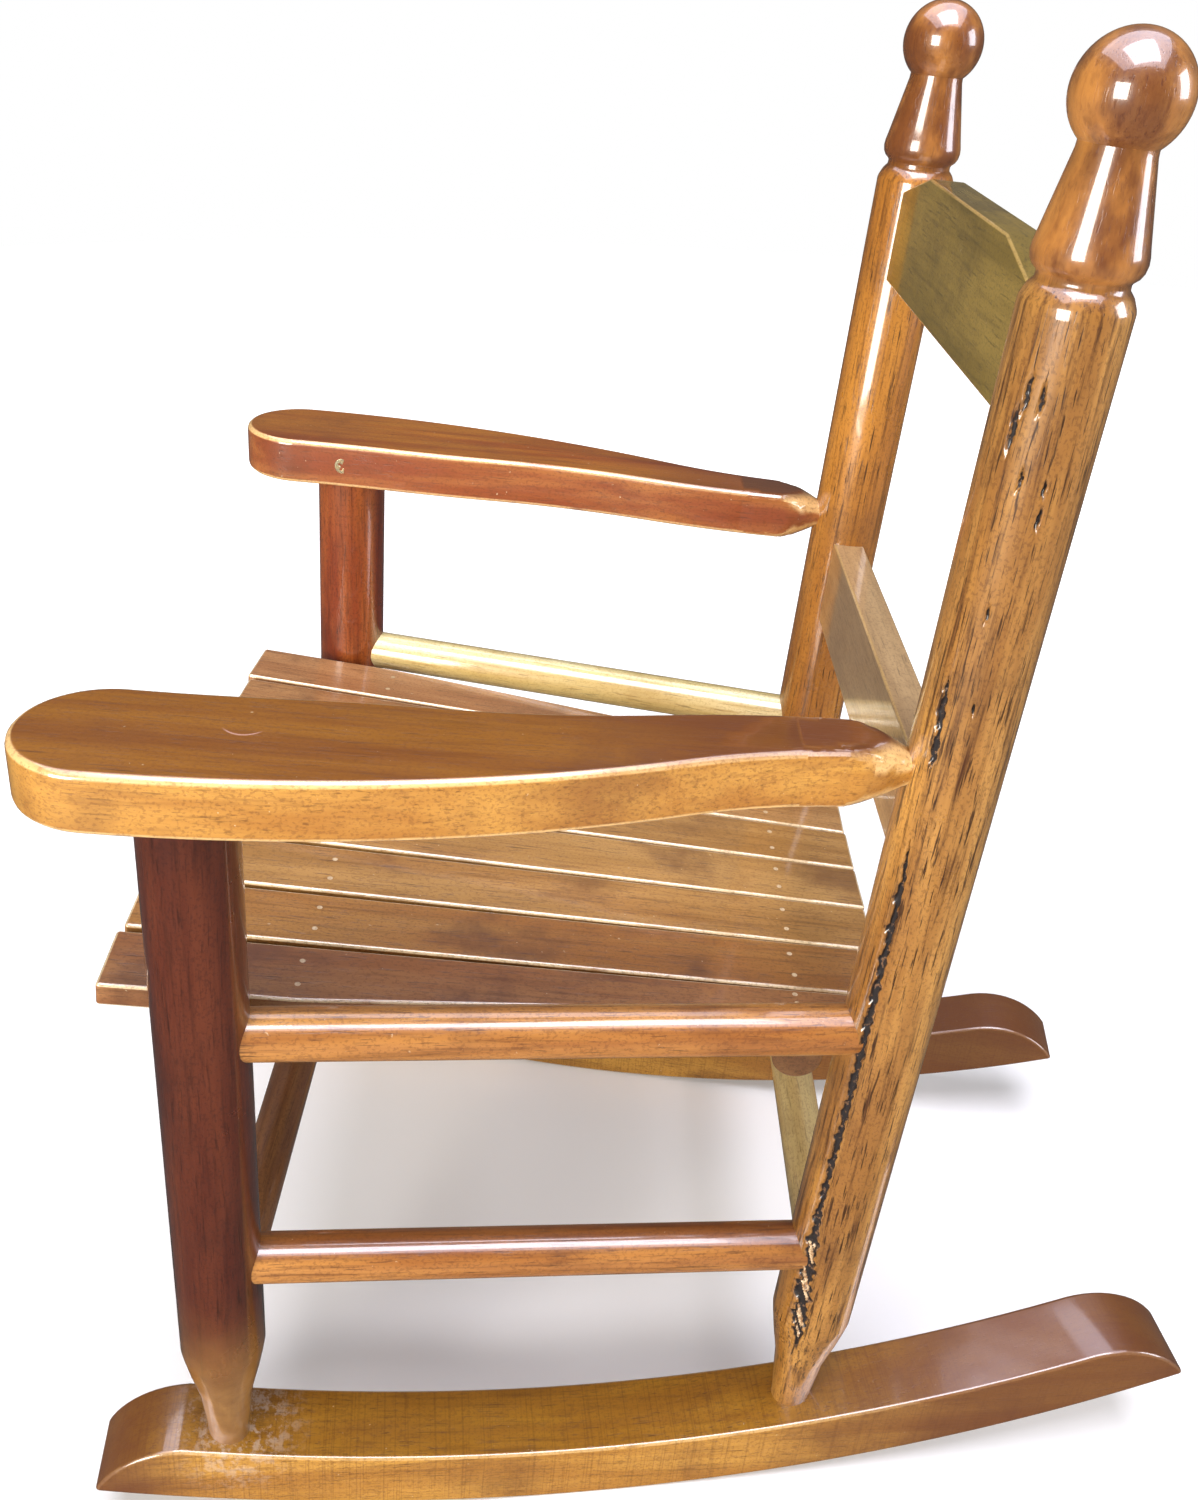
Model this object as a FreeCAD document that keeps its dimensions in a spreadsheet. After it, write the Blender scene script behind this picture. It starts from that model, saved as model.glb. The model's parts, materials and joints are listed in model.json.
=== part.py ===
"""A child's rocking chair: turned posts and legs, paddle arms, a fanned slat seat and two rockers.

The chair is drawn upright in its own frame: x = 0 is the plane of symmetry and +X is the sitter's left,
the front legs stand at y = 0 and +Y runs to the back, and z = 0 is the lowest line of the rockers' arc.
Every piece is then leaned back together, about the X axis, to the angle at which the chair balances.
"""
import FreeCAD, Part
import Sketcher
import math
import os
from types import SimpleNamespace

from FreeCAD import Placement, Rotation, Vector

DRIVING = {
    # overall pose
    "lean_angle": 2.795, "floor_shift_y": -186.45,
    # front legs and rear posts, turned from the same dowel
    "dowel_radius": 17.0, "foot_radius": 8.5, "foot_bottom": 17.0, "foot_top": 43.0,
    "taper_radius": 11.2, "taper_height": 70.0, "taper_start": 99.0,
    "front_leg_x": 162.0, "arm_underside": 363.0, "leg_tenon_radius": 11.0, "leg_tenon_length": 16.0,
    "rear_post_x": 126.5, "rear_post_y": 247.0, "post_lean": 1.05,
    # finial
    "ring_height": 531.0, "ring_bevel": 2.2, "undercut_radius": 13.6, "cone_bottom": 539.6,
    "cone_radius": 16.7, "neck_radius": 11.2, "neck_height": 572.0, "ball_radius": 16.9,
    # rockers
    "rocker_front_x": 158.5, "rocker_rear_x": 127.5, "rocker_thickness": 34.0, "rocker_depth": 31.0,
    "rocker_radius": 750.0, "rocker_middle": 121.0, "rocker_front": 56.0, "rocker_front_nose": 37.0,
    "rocker_rear": 428.0, "rocker_rear_nose": 47.0, "nose_radius": 42.0, "rocker_bevel": 1.6,
    # stretchers
    "stretcher_radius": 10.0, "bore_depth": 12.0,
    "upper_front_z": 262.0, "upper_rear_z": 258.4, "lower_front_z": 146.7, "lower_rear_z": 139.1,
    "cross_front_z": 112.0, "cross_rear_z": 125.0,
    # seat
    "seat_z": 262.6, "seat_slope": 3.43, "seat_half_width": 141.6, "fan_distance": 2080.0,
    "slat_front": 45.0, "slat_rear": 261.4, "slat_thickness": 10.0, "slat_round": 1.6,
    "slat_front_width": 32.9, "slat_rear_width": 30.4, "trim_start": 25.0, "trim_slope": 0.1525,
    "batten_width": 20.0, "batten_depth": 13.0, "front_batten_y": 22.5, "rear_batten_y": 222.8,
    "front_batten_half": 147.0, "rear_batten_half": 122.0,
    # arms
    "arm_thickness": 22.0, "arm_front": 52.8, "arm_end_radius": 28.5, "arm_inner_front_x": 134.5,
    "arm_inner_x": 130.5, "arm_inner_y": 75.0, "arm_rear_half": 12.5, "waist_outer_y": 240.0,
    "waist_inner_y": 230.0,
    "arm_round": 3.0, "point_start": 200.0, "point_start_radius": 22.5, "point_neck": 16.0,
    "point_neck_radius": 11.2, "point_bulge": 60.0, "point_clearance": 40.0,
    "tip_radius": 6.6, "tip_reach": 252.0, "tip_overrun": 2.0,
    # back rails
    "rail_thickness": 15.0, "rail_tenon": 12.0, "crest_bottom": 490.0, "crest_top": 539.5,
    "crest_flat_half": 64.0, "crest_end_height": 36.0, "rail_bottom": 322.0, "rail_top": 364.0,
    "rail_round": 1.2,
    # fasteners
    "screw_head_radius": 4.2, "arm_screw_x": 134.0, "screw_radius": 2.0, "arm_screw_length": 38.0, "seat_screw_length": 40.0,
    "brad_head_radius": 1.3, "brad_radius": 0.65, "brad_length": 19.0,
}
SLATS = 8
BRAD_SPREAD = 7.0
OUTER_BRADS = (12.0, 6.5)
FRONT_BRAD_Y = 27.0
BRAD_HEAD = 0.6
SCREW_HEAD = 2.6
SEAT_SCREW_X = 133.0
OUTER_WAIST_SHARE = 0.704
INNER_WAIST_SHARE = 0.5

doc = FreeCAD.newDocument("rocking_chair")
sheet = doc.addObject("Spreadsheet::Sheet", "Sheet")
for row, (alias, value) in enumerate(DRIVING.items(), start=1):
    sheet.set(f"A{row}", alias)
    sheet.set(f"B{row}", str(value))
    sheet.setAlias(f"B{row}", alias)
doc.recompute()


class Size:
    """A number together with the spreadsheet expression that gives it."""

    def __init__(self, value, text=None):
        self.value = float(value)
        self.text = text or repr(float(value))

    def _join(self, other, value, sign, swap=False):
        first, second = (other, self) if swap else (self, other)
        return Size(value, f"({first.text} {sign} {second.text})")

    def __add__(self, other):
        other = as_size(other)
        return self._join(other, self.value + other.value, "+")

    __radd__ = __add__

    def __sub__(self, other):
        other = as_size(other)
        return self._join(other, self.value - other.value, "-")

    def __rsub__(self, other):
        other = as_size(other)
        return self._join(other, other.value - self.value, "-", swap=True)

    def __mul__(self, other):
        other = as_size(other)
        return self._join(other, self.value * other.value, "*")

    __rmul__ = __mul__

    def __truediv__(self, other):
        other = as_size(other)
        return self._join(other, self.value / other.value, "/")

    def __neg__(self):
        return self * -1.0

    def __float__(self):
        return self.value


def as_size(number):
    return number if isinstance(number, Size) else Size(number)


def square_root(size):
    return Size(math.sqrt(size.value), f"sqrt({size.text})")


def length(*parts):
    """The length of a vector whose components are sizes."""
    total = Size(0.0)
    for part in parts:
        total = total + part * part
    return square_root(total)


dim = SimpleNamespace(**{alias: Size(value, f"Sheet.{alias}") for alias, value in DRIVING.items()})


# ---------------------------------------------------------------- where things are

LEAN = Placement(Vector(0, 0, 0), Rotation(Vector(1, 0, 0), -DRIVING["lean_angle"]))
TOE_IN = math.atan2(DRIVING["rocker_front_x"] - DRIVING["rocker_rear_x"], DRIVING["rear_post_y"])
ARC_CENTRE = LEAN.multVec(
    Vector(0, DRIVING["rocker_middle"] * math.cos(TOE_IN), DRIVING["rocker_radius"])
)
# The rockers are toed in, so once leaned they touch the floor with their outer edges.
ACROSS = LEAN.Rotation.multVec(Vector(math.cos(TOE_IN), math.sin(TOE_IN), 0))
REACH_DOWN = DRIVING["rocker_radius"] * math.sqrt(1.0 - ACROSS.z ** 2)
REACH_DOWN += DRIVING["rocker_thickness"] / 2 * abs(ACROSS.z)
FLOOR = Placement(Vector(0, DRIVING["floor_shift_y"], REACH_DOWN - ARC_CENTRE.z), Rotation())
POSE = FLOOR.multiply(LEAN)
POST_FRAME = Placement(
    Vector(0, DRIVING["rear_post_y"], 0), Rotation(Vector(1, 0, 0), -DRIVING["post_lean"])
)
SEAT_FRAME = Placement(
    Vector(0, 0, DRIVING["seat_z"]), Rotation(Vector(1, 0, 0), -DRIVING["seat_slope"])
)
ARM_MIDDLE = dim.arm_underside + dim.arm_thickness / 2
SIDES = {"left": 1, "right": -1}


def moved(x, y, z, axis=(0, 0, 1), angle=0.0):
    return Placement(Vector(float(x), float(y), float(z)), Rotation(Vector(*axis), angle))


def post_axis(height):
    """The y of the rear posts' axis at a height."""
    return DRIVING["rear_post_y"] + float(height) * math.tan(math.radians(DRIVING["post_lean"]))


# ---------------------------------------------------------------- drawing helpers

def bind(thing, **sizes):
    for name, size in sizes.items():
        thing.setExpression(name, as_size(size).text)


def new_body(label, local):
    body = doc.addObject("PartDesign::Body", label)
    body.Label = label
    body.Placement = POSE.multiply(local)
    return body


def new_sketch(body, name, role):
    sketch = body.newObject("Sketcher::SketchObject", name)
    plane = [item for item in body.Origin.OriginFeatures if item.Role == role][0]
    sketch.AttachmentSupport = [(plane, "")]
    sketch.MapMode = "FlatFace"
    return sketch


def arc_middle(start, end, radius, side):
    """The middle point of the short arc between two points; side 1 bulges to the right of the way."""
    chord = end - start
    half = chord.Length / 2
    rise = radius - math.sqrt(radius * radius - half * half)
    right = Vector(chord.y, -chord.x, 0).normalize()
    return (start + end) / 2 + right * rise * side


def closed_outline(body, name, role, corners, arcs=None):
    """A closed outline through corners; arcs gives an edge, by number, a radius and a side."""
    arcs = arcs or {}
    sketch = new_sketch(body, name, role)
    points = [Vector(float(across), float(up), 0) for across, up in corners]
    ends = []
    for number, start in enumerate(points):
        end = points[(number + 1) % len(points)]
        if number not in arcs:
            sketch.addGeometry(Part.LineSegment(start, end))
            ends.append((1, 2))
            continue
        radius, side = arcs[number]
        middle = arc_middle(start, end, radius.value, side)
        if side > 0:
            sketch.addGeometry(Part.Arc(start, middle, end))
            ends.append((1, 2))
        else:
            sketch.addGeometry(Part.Arc(end, middle, start))
            ends.append((2, 1))
        index = sketch.addConstraint(Sketcher.Constraint("Radius", number, radius.value))
        sketch.setExpression(f"Constraints[{index}]", radius.text)
    for number, corner in enumerate(corners):
        before = (number - 1) % len(corners)
        sketch.addConstraint(
            Sketcher.Constraint("Coincident", before, ends[before][1], number, ends[number][0])
        )
        for kind, axis, size in (("DistanceX", -2, corner[0]), ("DistanceY", -1, corner[1])):
            size = as_size(size)
            if size.text == "0.0":
                sketch.addConstraint(
                    Sketcher.Constraint("PointOnObject", number, ends[number][0], axis)
                )
                continue
            index = sketch.addConstraint(
                Sketcher.Constraint(kind, -1, 1, number, ends[number][0], size.value)
            )
            sketch.setExpression(f"Constraints[{index}]", size.text)
    return sketch


def pad(body, sketch, depth, symmetric=False, reverse=False):
    feature = body.newObject("PartDesign::Pad", "Pad")
    feature.Profile = sketch
    feature.SideType = "Symmetric" if symmetric else "One side"
    feature.Reversed = reverse
    bind(feature, Length=depth)
    doc.recompute()
    return feature


def revolve(body, kind, sketch, axis):
    feature = body.newObject(kind, "Turned")
    feature.Profile = sketch
    feature.ReferenceAxis = (sketch, [axis])
    feature.Angle = 360.0
    doc.recompute()
    return feature


def soften(body, feature, kind, size, chosen):
    """Rounds or bevels the edges of a feature that a test picks."""
    names = [f"Edge{number}" for number, edge in enumerate(feature.Shape.Edges, start=1) if chosen(edge)]
    dressed = body.newObject(kind, "Softened")
    dressed.Base = (feature, names)
    bind(dressed, **{"Radius" if kind.endswith("Fillet") else "Size": size})
    doc.recompute()
    return dressed


def edge_at(edge, axis, place):
    """True for an edge whose ends and middle all lie at one place along an axis."""
    middle = edge.valueAt((edge.FirstParameter + edge.LastParameter) / 2)
    points = [vertex.Point for vertex in edge.Vertexes] + [middle]
    return all(abs(point[axis] - float(place)) < 0.02 for point in points)


def dowel(label, start, end, radius, size):
    """A plain dowel between two points, with its radius and its length bound to the sheet."""
    rod = doc.addObject("Part::Cylinder", label)
    rod.Label = label
    bind(rod, Radius=radius, Height=size)
    rod.Placement = POSE.multiply(Placement(start, Rotation(Vector(0, 0, 1), end - start)))
    return rod


def bored(label, base, tools):
    """A piece with the sockets that its neighbours fill."""
    group = doc.addObject("Part::Compound", f"{label}_sockets")
    group.Links = tools
    cut = doc.addObject("Part::Cut", label)
    base.Label = f"{label}_blank"
    cut.Label = label
    cut.Base = base
    cut.Tool = group
    return cut


# ---------------------------------------------------------------- legs and posts

def foot_profile():
    """The corners of a tapered foot, from the tenon in the rocker up to the full dowel."""
    return [
        (0.0, dim.foot_bottom),
        (dim.foot_radius, dim.foot_bottom),
        (dim.foot_radius, dim.foot_top),
        (dim.taper_radius, dim.taper_height),
        (dim.dowel_radius, dim.taper_start),
    ]


def front_leg(side):
    """A front leg: a dowel with a tapered foot and a tenon that goes up into the arm."""
    body = new_body(f"front_leg_{side}", moved(SIDES[side] * dim.front_leg_x, 0, 0))
    tenon_top = dim.arm_underside + dim.leg_tenon_length
    corners = foot_profile() + [
        (dim.dowel_radius, dim.arm_underside),
        (dim.leg_tenon_radius, dim.arm_underside),
        (dim.leg_tenon_radius, tenon_top),
        (0.0, tenon_top),
    ]
    sketch = closed_outline(body, "leg_profile", "XZ_Plane", corners)
    revolve(body, "PartDesign::Revolution", sketch, "V_Axis")
    return body


def rear_post(side):
    """A rear post: a dowel with a tapered foot, a bevelled ring, a cone and a ball."""
    local = moved(SIDES[side] * dim.rear_post_x, 0, 0).multiply(POST_FRAME)
    body = new_body(f"rear_post_{side}", local)
    bevel_top = dim.ring_height + dim.ring_bevel * 2.2
    rise = square_root(dim.ball_radius * dim.ball_radius - dim.neck_radius * dim.neck_radius)
    ball_bottom = dim.neck_height + 2.0
    corners = foot_profile() + [
        (dim.dowel_radius, dim.ring_height),
        (dim.dowel_radius - dim.ring_bevel, bevel_top),
        (dim.undercut_radius, bevel_top + 0.8),
        (dim.undercut_radius, dim.cone_bottom),
        (dim.cone_radius, dim.cone_bottom + 5.0),
        (dim.cone_radius - 0.7, dim.cone_bottom + 9.0),
        (dim.neck_radius, dim.neck_height),
        (dim.neck_radius, ball_bottom),
        (0.0, ball_bottom + rise + dim.ball_radius),
    ]
    arcs = {8: (Size(5.5), 1), 9: (Size(6.0), 1), 12: (dim.ball_radius, 1)}
    sketch = closed_outline(body, "post_profile", "XZ_Plane", corners, arcs)
    revolve(body, "PartDesign::Revolution", sketch, "V_Axis")
    return body


# ---------------------------------------------------------------- rockers

def rocker(side):
    """A rocker: a bent plank with concentric arcs and a rounded-over nose at each end."""
    turn = SIDES[side] * math.degrees(TOE_IN)
    local = moved(SIDES[side] * dim.rocker_front_x, 0, 0, angle=turn)
    body = new_body(f"rocker_{side}", local)
    top_radius = dim.rocker_radius - dim.rocker_depth

    def height(along, radius):
        offset = along - dim.rocker_middle
        return dim.rocker_radius - square_root(radius * radius - offset * offset)

    front = -dim.rocker_front
    front_nose = dim.rocker_front_nose - dim.rocker_front
    rear_nose = dim.rocker_rear - dim.rocker_rear_nose
    corners = [
        (front, height(front, dim.rocker_radius)),
        (dim.rocker_rear, height(dim.rocker_rear, dim.rocker_radius)),
        (rear_nose, height(rear_nose, top_radius)),
        (front_nose, height(front_nose, top_radius)),
    ]
    arcs = {
        0: (dim.rocker_radius, 1), 1: (dim.nose_radius, 1), 2: (top_radius, -1), 3: (dim.nose_radius, 1)
    }
    sketch = closed_outline(body, "rocker_side", "YZ_Plane", corners, arcs)
    plank = pad(body, sketch, dim.rocker_thickness, symmetric=True)
    half = dim.rocker_thickness / 2
    soften(
        body, plank, "PartDesign::Chamfer", dim.rocker_bevel,
        lambda edge: (edge_at(edge, 0, half) or edge_at(edge, 0, -half)) and is_upper(edge),
    )
    return body


def is_upper(edge):
    """True for the rocker's edges along its top, where a small bevel runs."""
    radius = getattr(edge.Curve, "Radius", 0.0)
    return abs(radius - DRIVING["rocker_radius"]) > 1.0


# ---------------------------------------------------------------- arms

def waist(start, end, share):
    """Two tangent arcs that carry an edge sideways, both ends along Y; share is the first arc's part."""
    across = start[0] - end[0]
    along = start[1] - end[1]
    both = square_root(across * across) * 0.5 + along * along / (square_root(across * across) * 2)
    turn = (start[0] - across * share, start[1] - along * share)
    return turn, (both * share, both * (1.0 - share))


def arm(side):
    """A paddle arm: round in front, waisted to the rear, with a pencil point that enters the post."""
    sign = SIDES[side]
    body = new_body(f"arm_{side}", moved(sign * dim.rear_post_x, 0, ARM_MIDDLE))
    inner = dim.arm_inner_x - dim.rear_post_x
    inner_front = dim.arm_inner_front_x - dim.rear_post_x
    outer = inner_front + dim.arm_end_radius * 2
    round_start = dim.arm_end_radius - dim.arm_front
    outer_end = (dim.arm_rear_half, dim.waist_outer_y)
    outer_waist, outer_radii = waist((outer, round_start), outer_end, OUTER_WAIST_SHARE)
    inner_end = (-dim.arm_rear_half, dim.waist_inner_y)
    inner_middle = (inner, dim.arm_inner_y)
    inner_waist, inner_radii = waist(inner_end, inner_middle, INNER_WAIST_SHARE)
    flare, flare_radii = waist(inner_middle, (inner_front, round_start), INNER_WAIST_SHARE)
    plan = [
        (inner_front, round_start),
        (inner_front + dim.arm_end_radius, -dim.arm_front),
        (outer, round_start),
        outer_waist,
        outer_end,
        (dim.arm_rear_half, dim.tip_reach),
        (-dim.arm_rear_half, dim.tip_reach),
        inner_end,
        inner_waist,
        inner_middle,
        flare,
    ]
    arcs = {
        0: (dim.arm_end_radius, 1), 1: (dim.arm_end_radius, 1),
        2: (outer_radii[0], 1), 3: (outer_radii[1], -1),
        7: (inner_radii[0], 1), 8: (inner_radii[1], -1),
        9: (flare_radii[0], 1), 10: (flare_radii[1], -1),
    }
    if sign < 0:
        plan = [(-as_size(across), along) for across, along in plan][::-1]
        last = len(plan) - 2
        arcs = {(last - number) % len(plan): rule for number, rule in arcs.items()}
    sketch = closed_outline(body, "arm_plan", "XY_Plane", plan, arcs)
    board = pad(body, sketch, dim.arm_thickness, symmetric=True)
    top = dim.arm_thickness / 2
    rounded = soften(
        body, board, "PartDesign::Fillet", dim.arm_round,
        lambda edge: edge_at(edge, 2, top) and not edge_at(edge, 1, dim.tip_reach),
    )
    rounded = soften(
        body, rounded, "PartDesign::Fillet", dim.arm_round / 2,
        lambda edge: edge_at(edge, 2, -top) and not edge_at(edge, 1, dim.tip_reach),
    )
    whole = rounded.Shape.Volume
    face = post_axis(ARM_MIDDLE) - DRIVING["dowel_radius"]
    past_tip = dim.tip_reach + dim.tip_overrun
    shavings = [
        (dim.point_start, dim.point_start_radius),
        (face - dim.point_neck, dim.point_neck_radius),
        (face, dim.tip_radius),
        (past_tip, dim.tip_radius),
        (past_tip, dim.point_clearance),
        (dim.point_start, dim.point_clearance),
    ]
    bulges = {0: (dim.point_bulge, -1), 1: (dim.point_bulge, -1)}
    point = closed_outline(body, "pencil_point", "YZ_Plane", shavings, bulges)
    sharpened = revolve(body, "PartDesign::Groove", point, "H_Axis")
    assert sharpened.Shape.Volume < whole - 1000.0, "the pencil point cut nothing"
    return body


# ---------------------------------------------------------------- seat

def slat(number):
    """A tapered slat on the fan; the outer two are trimmed on their outer edge to pass the posts."""
    share = 1.0 - (2.0 * number - 1.0) / SLATS
    middle = DRIVING["seat_half_width"] * share
    fan = math.degrees(math.atan2(middle, DRIVING["fan_distance"]))
    local = SEAT_FRAME.multiply(moved(middle, 0, 0, angle=fan))
    body = new_body(f"seat_slat_{number}", local)
    front = -dim.slat_front
    half_front = dim.slat_front_width / 2
    half_rear = dim.slat_rear_width / 2
    left = [(half_front, front), (half_rear, dim.slat_rear)]
    right = [(-half_rear, dim.slat_rear), (-half_front, front)]
    rear_trim = half_front - (dim.slat_rear - dim.trim_start) * (dim.trim_slope - middle_slope(middle))
    if number == 1:
        left = [(half_front, front), (half_front, dim.trim_start), (rear_trim, dim.slat_rear)]
    if number == SLATS:
        right = [(-rear_trim, dim.slat_rear), (-half_front, dim.trim_start), (-half_front, front)]
    sketch = closed_outline(body, "slat_plan", "XY_Plane", left + right)
    board = pad(body, sketch, dim.slat_thickness, reverse=True)
    soften(body, board, "PartDesign::Fillet", dim.slat_round, lambda edge: edge_at(edge, 2, 0.0))
    return body


def middle_slope(middle):
    """How much a slat's centre line runs inwards for each millimetre to the rear."""
    return abs(middle) / DRIVING["fan_distance"]


def batten(name, along, half):
    """A D-shaped batten under the slats, flat side up, close to the legs or the posts."""
    local = SEAT_FRAME.multiply(moved(0, along, -DRIVING["slat_thickness"]))
    body = new_body(name, local)
    side = dim.batten_width / 2
    shoulder = side - dim.batten_depth
    corners = [(-side, 0.0), (-side, shoulder), (side, shoulder), (side, 0.0)]
    sketch = closed_outline(body, "batten_section", "YZ_Plane", corners, {1: (side + 0.001, 1)})
    pad(body, sketch, half * 2, symmetric=True)
    return body


# ---------------------------------------------------------------- back rails

def back_rail(name, corners):
    """A flat rail whose ends are let into the two posts."""
    body = new_body(name, POST_FRAME)
    sketch = closed_outline(body, "rail_face", "XZ_Plane", corners)
    board = pad(body, sketch, dim.rail_thickness, symmetric=True)
    half = dim.rail_thickness / 2
    reach = rail_reach()
    soften(
        body, board, "PartDesign::Fillet", dim.rail_round,
        lambda edge: (edge_at(edge, 1, half) or edge_at(edge, 1, -half))
        and not edge_at(edge, 0, reach) and not edge_at(edge, 0, -reach),
    )
    return body


def rail_reach():
    return dim.rear_post_x - dim.dowel_radius + dim.rail_tenon


def crest_corners():
    reach = rail_reach()
    shoulder = dim.crest_bottom + dim.crest_end_height
    return [
        (-reach, dim.crest_bottom), (reach, dim.crest_bottom), (reach, shoulder),
        (dim.crest_flat_half, dim.crest_top), (-dim.crest_flat_half, dim.crest_top), (-reach, shoulder),
    ]


def lower_rail_corners():
    reach = rail_reach()
    return [
        (-reach, dim.rail_bottom), (reach, dim.rail_bottom), (reach, dim.rail_top), (-reach, dim.rail_top)
    ]


# ---------------------------------------------------------------- stretchers

def side_stretcher(label, side, front_z, rear_z):
    """A dowel from a front leg back to the post behind it; both ends stop short of the axes."""
    sign = SIDES[side]
    start = Vector(sign * DRIVING["front_leg_x"], 0, front_z.value)
    end = Vector(sign * DRIVING["rear_post_x"], post_axis(rear_z), rear_z.value)
    inset = dim.dowel_radius - dim.bore_depth
    way = (end - start).normalize()
    run = length(dim.front_leg_x - dim.rear_post_x, as_size(post_axis(rear_z)), rear_z - front_z)
    size = run - inset * 2
    return dowel(label, start + way * inset.value, end, dim.stretcher_radius, size)


def cross_stretcher(label, across, along, height):
    """A dowel from the left side to the right side, let into both."""
    reach = across - dim.dowel_radius + dim.bore_depth
    start = Vector(-reach.value, along, height.value)
    end = Vector(reach.value, along, height.value)
    return dowel(label, start, end, dim.stretcher_radius, reach * 2)


# ---------------------------------------------------------------- fasteners

def fastener(start, way, head_radius, head_length, shank_radius, total):
    """One solid with a countersunk head at start and a shank that runs along way."""
    head = Part.makeCone(head_radius, shank_radius, head_length, start, way)
    shank = Part.makeCylinder(shank_radius, total, start, way)
    return head.fuse(shank).removeSplitter()


def fastener_group(label, solids):
    group = doc.addObject("Part::Feature", label)
    group.Label = label
    group.Shape = Part.makeCompound(solids)
    group.Placement = POSE
    return group


def screw(start, way, total):
    return fastener(
        start, way, DRIVING["screw_head_radius"], SCREW_HEAD, DRIVING["screw_radius"], total
    )


def arm_screws():
    """One screw in the inner edge of each arm, through the leg's tenon."""
    solids = []
    for sign in SIDES.values():
        start = Vector(sign * DRIVING["arm_screw_x"], 0, ARM_MIDDLE.value)
        solids.append(screw(start, Vector(sign, 0, 0), DRIVING["arm_screw_length"]))
    return solids


def seat_screws():
    """One screw at each end of the front batten, aimed at the axis of the front leg."""
    solids = []
    drop = -DRIVING["slat_thickness"] - 0.5 * DRIVING["batten_depth"]
    back_face = DRIVING["front_batten_y"] + DRIVING["batten_width"] / 2
    start = SEAT_FRAME.multVec(Vector(SEAT_SCREW_X, back_face, drop))
    for sign in SIDES.values():
        place = Vector(sign * start.x, start.y, start.z)
        way = (Vector(sign * DRIVING["front_leg_x"], 0, start.z) - place).normalize()
        solids.append(screw(place, way, DRIVING["seat_screw_length"]))
    return solids


def seat_brads():
    """Two brads through each end of each slat into the batten below."""
    solids = []
    down = SEAT_FRAME.Rotation.multVec(Vector(0, 0, -1))
    for number in range(1, SLATS + 1):
        middle = DRIVING["seat_half_width"] * (1.0 - (2.0 * number - 1.0) / SLATS)
        fan = math.degrees(math.atan2(middle, DRIVING["fan_distance"]))
        frame = SEAT_FRAME.multiply(moved(middle, 0, 0, angle=fan))
        rear = [-BRAD_SPREAD, BRAD_SPREAD]
        if number in (1, SLATS):
            outward = math.copysign(1.0, middle)
            rear = [-place * outward for place in OUTER_BRADS]
        rows = [(FRONT_BRAD_Y, [-BRAD_SPREAD, BRAD_SPREAD]), (DRIVING["rear_batten_y"], rear)]
        for along, places in rows:
            for across in places:
                start = frame.multVec(Vector(across, along, 0))
                solids.append(fastener(
                    start, down, DRIVING["brad_head_radius"], BRAD_HEAD,
                    DRIVING["brad_radius"], DRIVING["brad_length"],
                ))
    return solids


# ---------------------------------------------------------------- assembly

pieces = []
arm_screw_group = fastener_group("arm_screws", arm_screws())
seat_screw_group = fastener_group("seat_screws", seat_screws())
brad_group = fastener_group("seat_brads", seat_brads())

crest = back_rail("crest_rail", crest_corners())
lower_rail = back_rail("lower_back_rail", lower_rail_corners())
front_cross = cross_stretcher("lower_cross_stretcher_front", dim.front_leg_x, 0.0, dim.cross_front_z)
rear_cross = cross_stretcher(
    "lower_cross_stretcher_rear", dim.rear_post_x, post_axis(dim.cross_rear_z), dim.cross_rear_z
)
pieces += [arm_screw_group, seat_screw_group, brad_group, crest, lower_rail, front_cross, rear_cross]

for side in SIDES:
    upper = side_stretcher(f"upper_side_stretcher_{side}", side, dim.upper_front_z, dim.upper_rear_z)
    lower = side_stretcher(f"lower_side_stretcher_{side}", side, dim.lower_front_z, dim.lower_rear_z)
    leg = front_leg(side)
    post = rear_post(side)
    plank = rocker(side)
    paddle = arm(side)
    pieces += [
        upper,
        lower,
        bored(f"rocker_{side}", plank, [leg, post]),
        bored(f"arm_{side}", paddle, [leg, arm_screw_group]),
        bored(f"front_leg_{side}", leg, [upper, lower, front_cross, arm_screw_group, seat_screw_group]),
        bored(f"rear_post_{side}", post, [upper, lower, rear_cross, crest, lower_rail, paddle]),
    ]

for number in range(1, SLATS + 1):
    pieces.append(bored(f"seat_slat_{number}", slat(number), [brad_group]))
for name, along, half in (
    ("seat_batten_front", DRIVING["front_batten_y"], dim.front_batten_half),
    ("seat_batten_rear", DRIVING["rear_batten_y"], dim.rear_batten_half),
):
    pieces.append(bored(name, batten(name, along, half), [brad_group, seat_screw_group]))

doc.recompute()
for thing in doc.Objects:
    assert not {"Invalid", "Error"} & set(thing.State), f"{thing.Label} failed: {thing.State}"
for piece in pieces:
    assert not piece.Shape.isNull() and piece.Shape.isValid(), f"{piece.Label} has a bad shape"

os.makedirs("parts", exist_ok=True)
for piece in pieces:
    piece.Shape.exportStep(f"parts/{piece.Label}.step")
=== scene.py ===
"""A child's rocking chair: turned and stained hardwood under gloss lacquer."""
import json
import math

import bmesh
import bpy
from mathutils import Matrix, Vector


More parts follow.
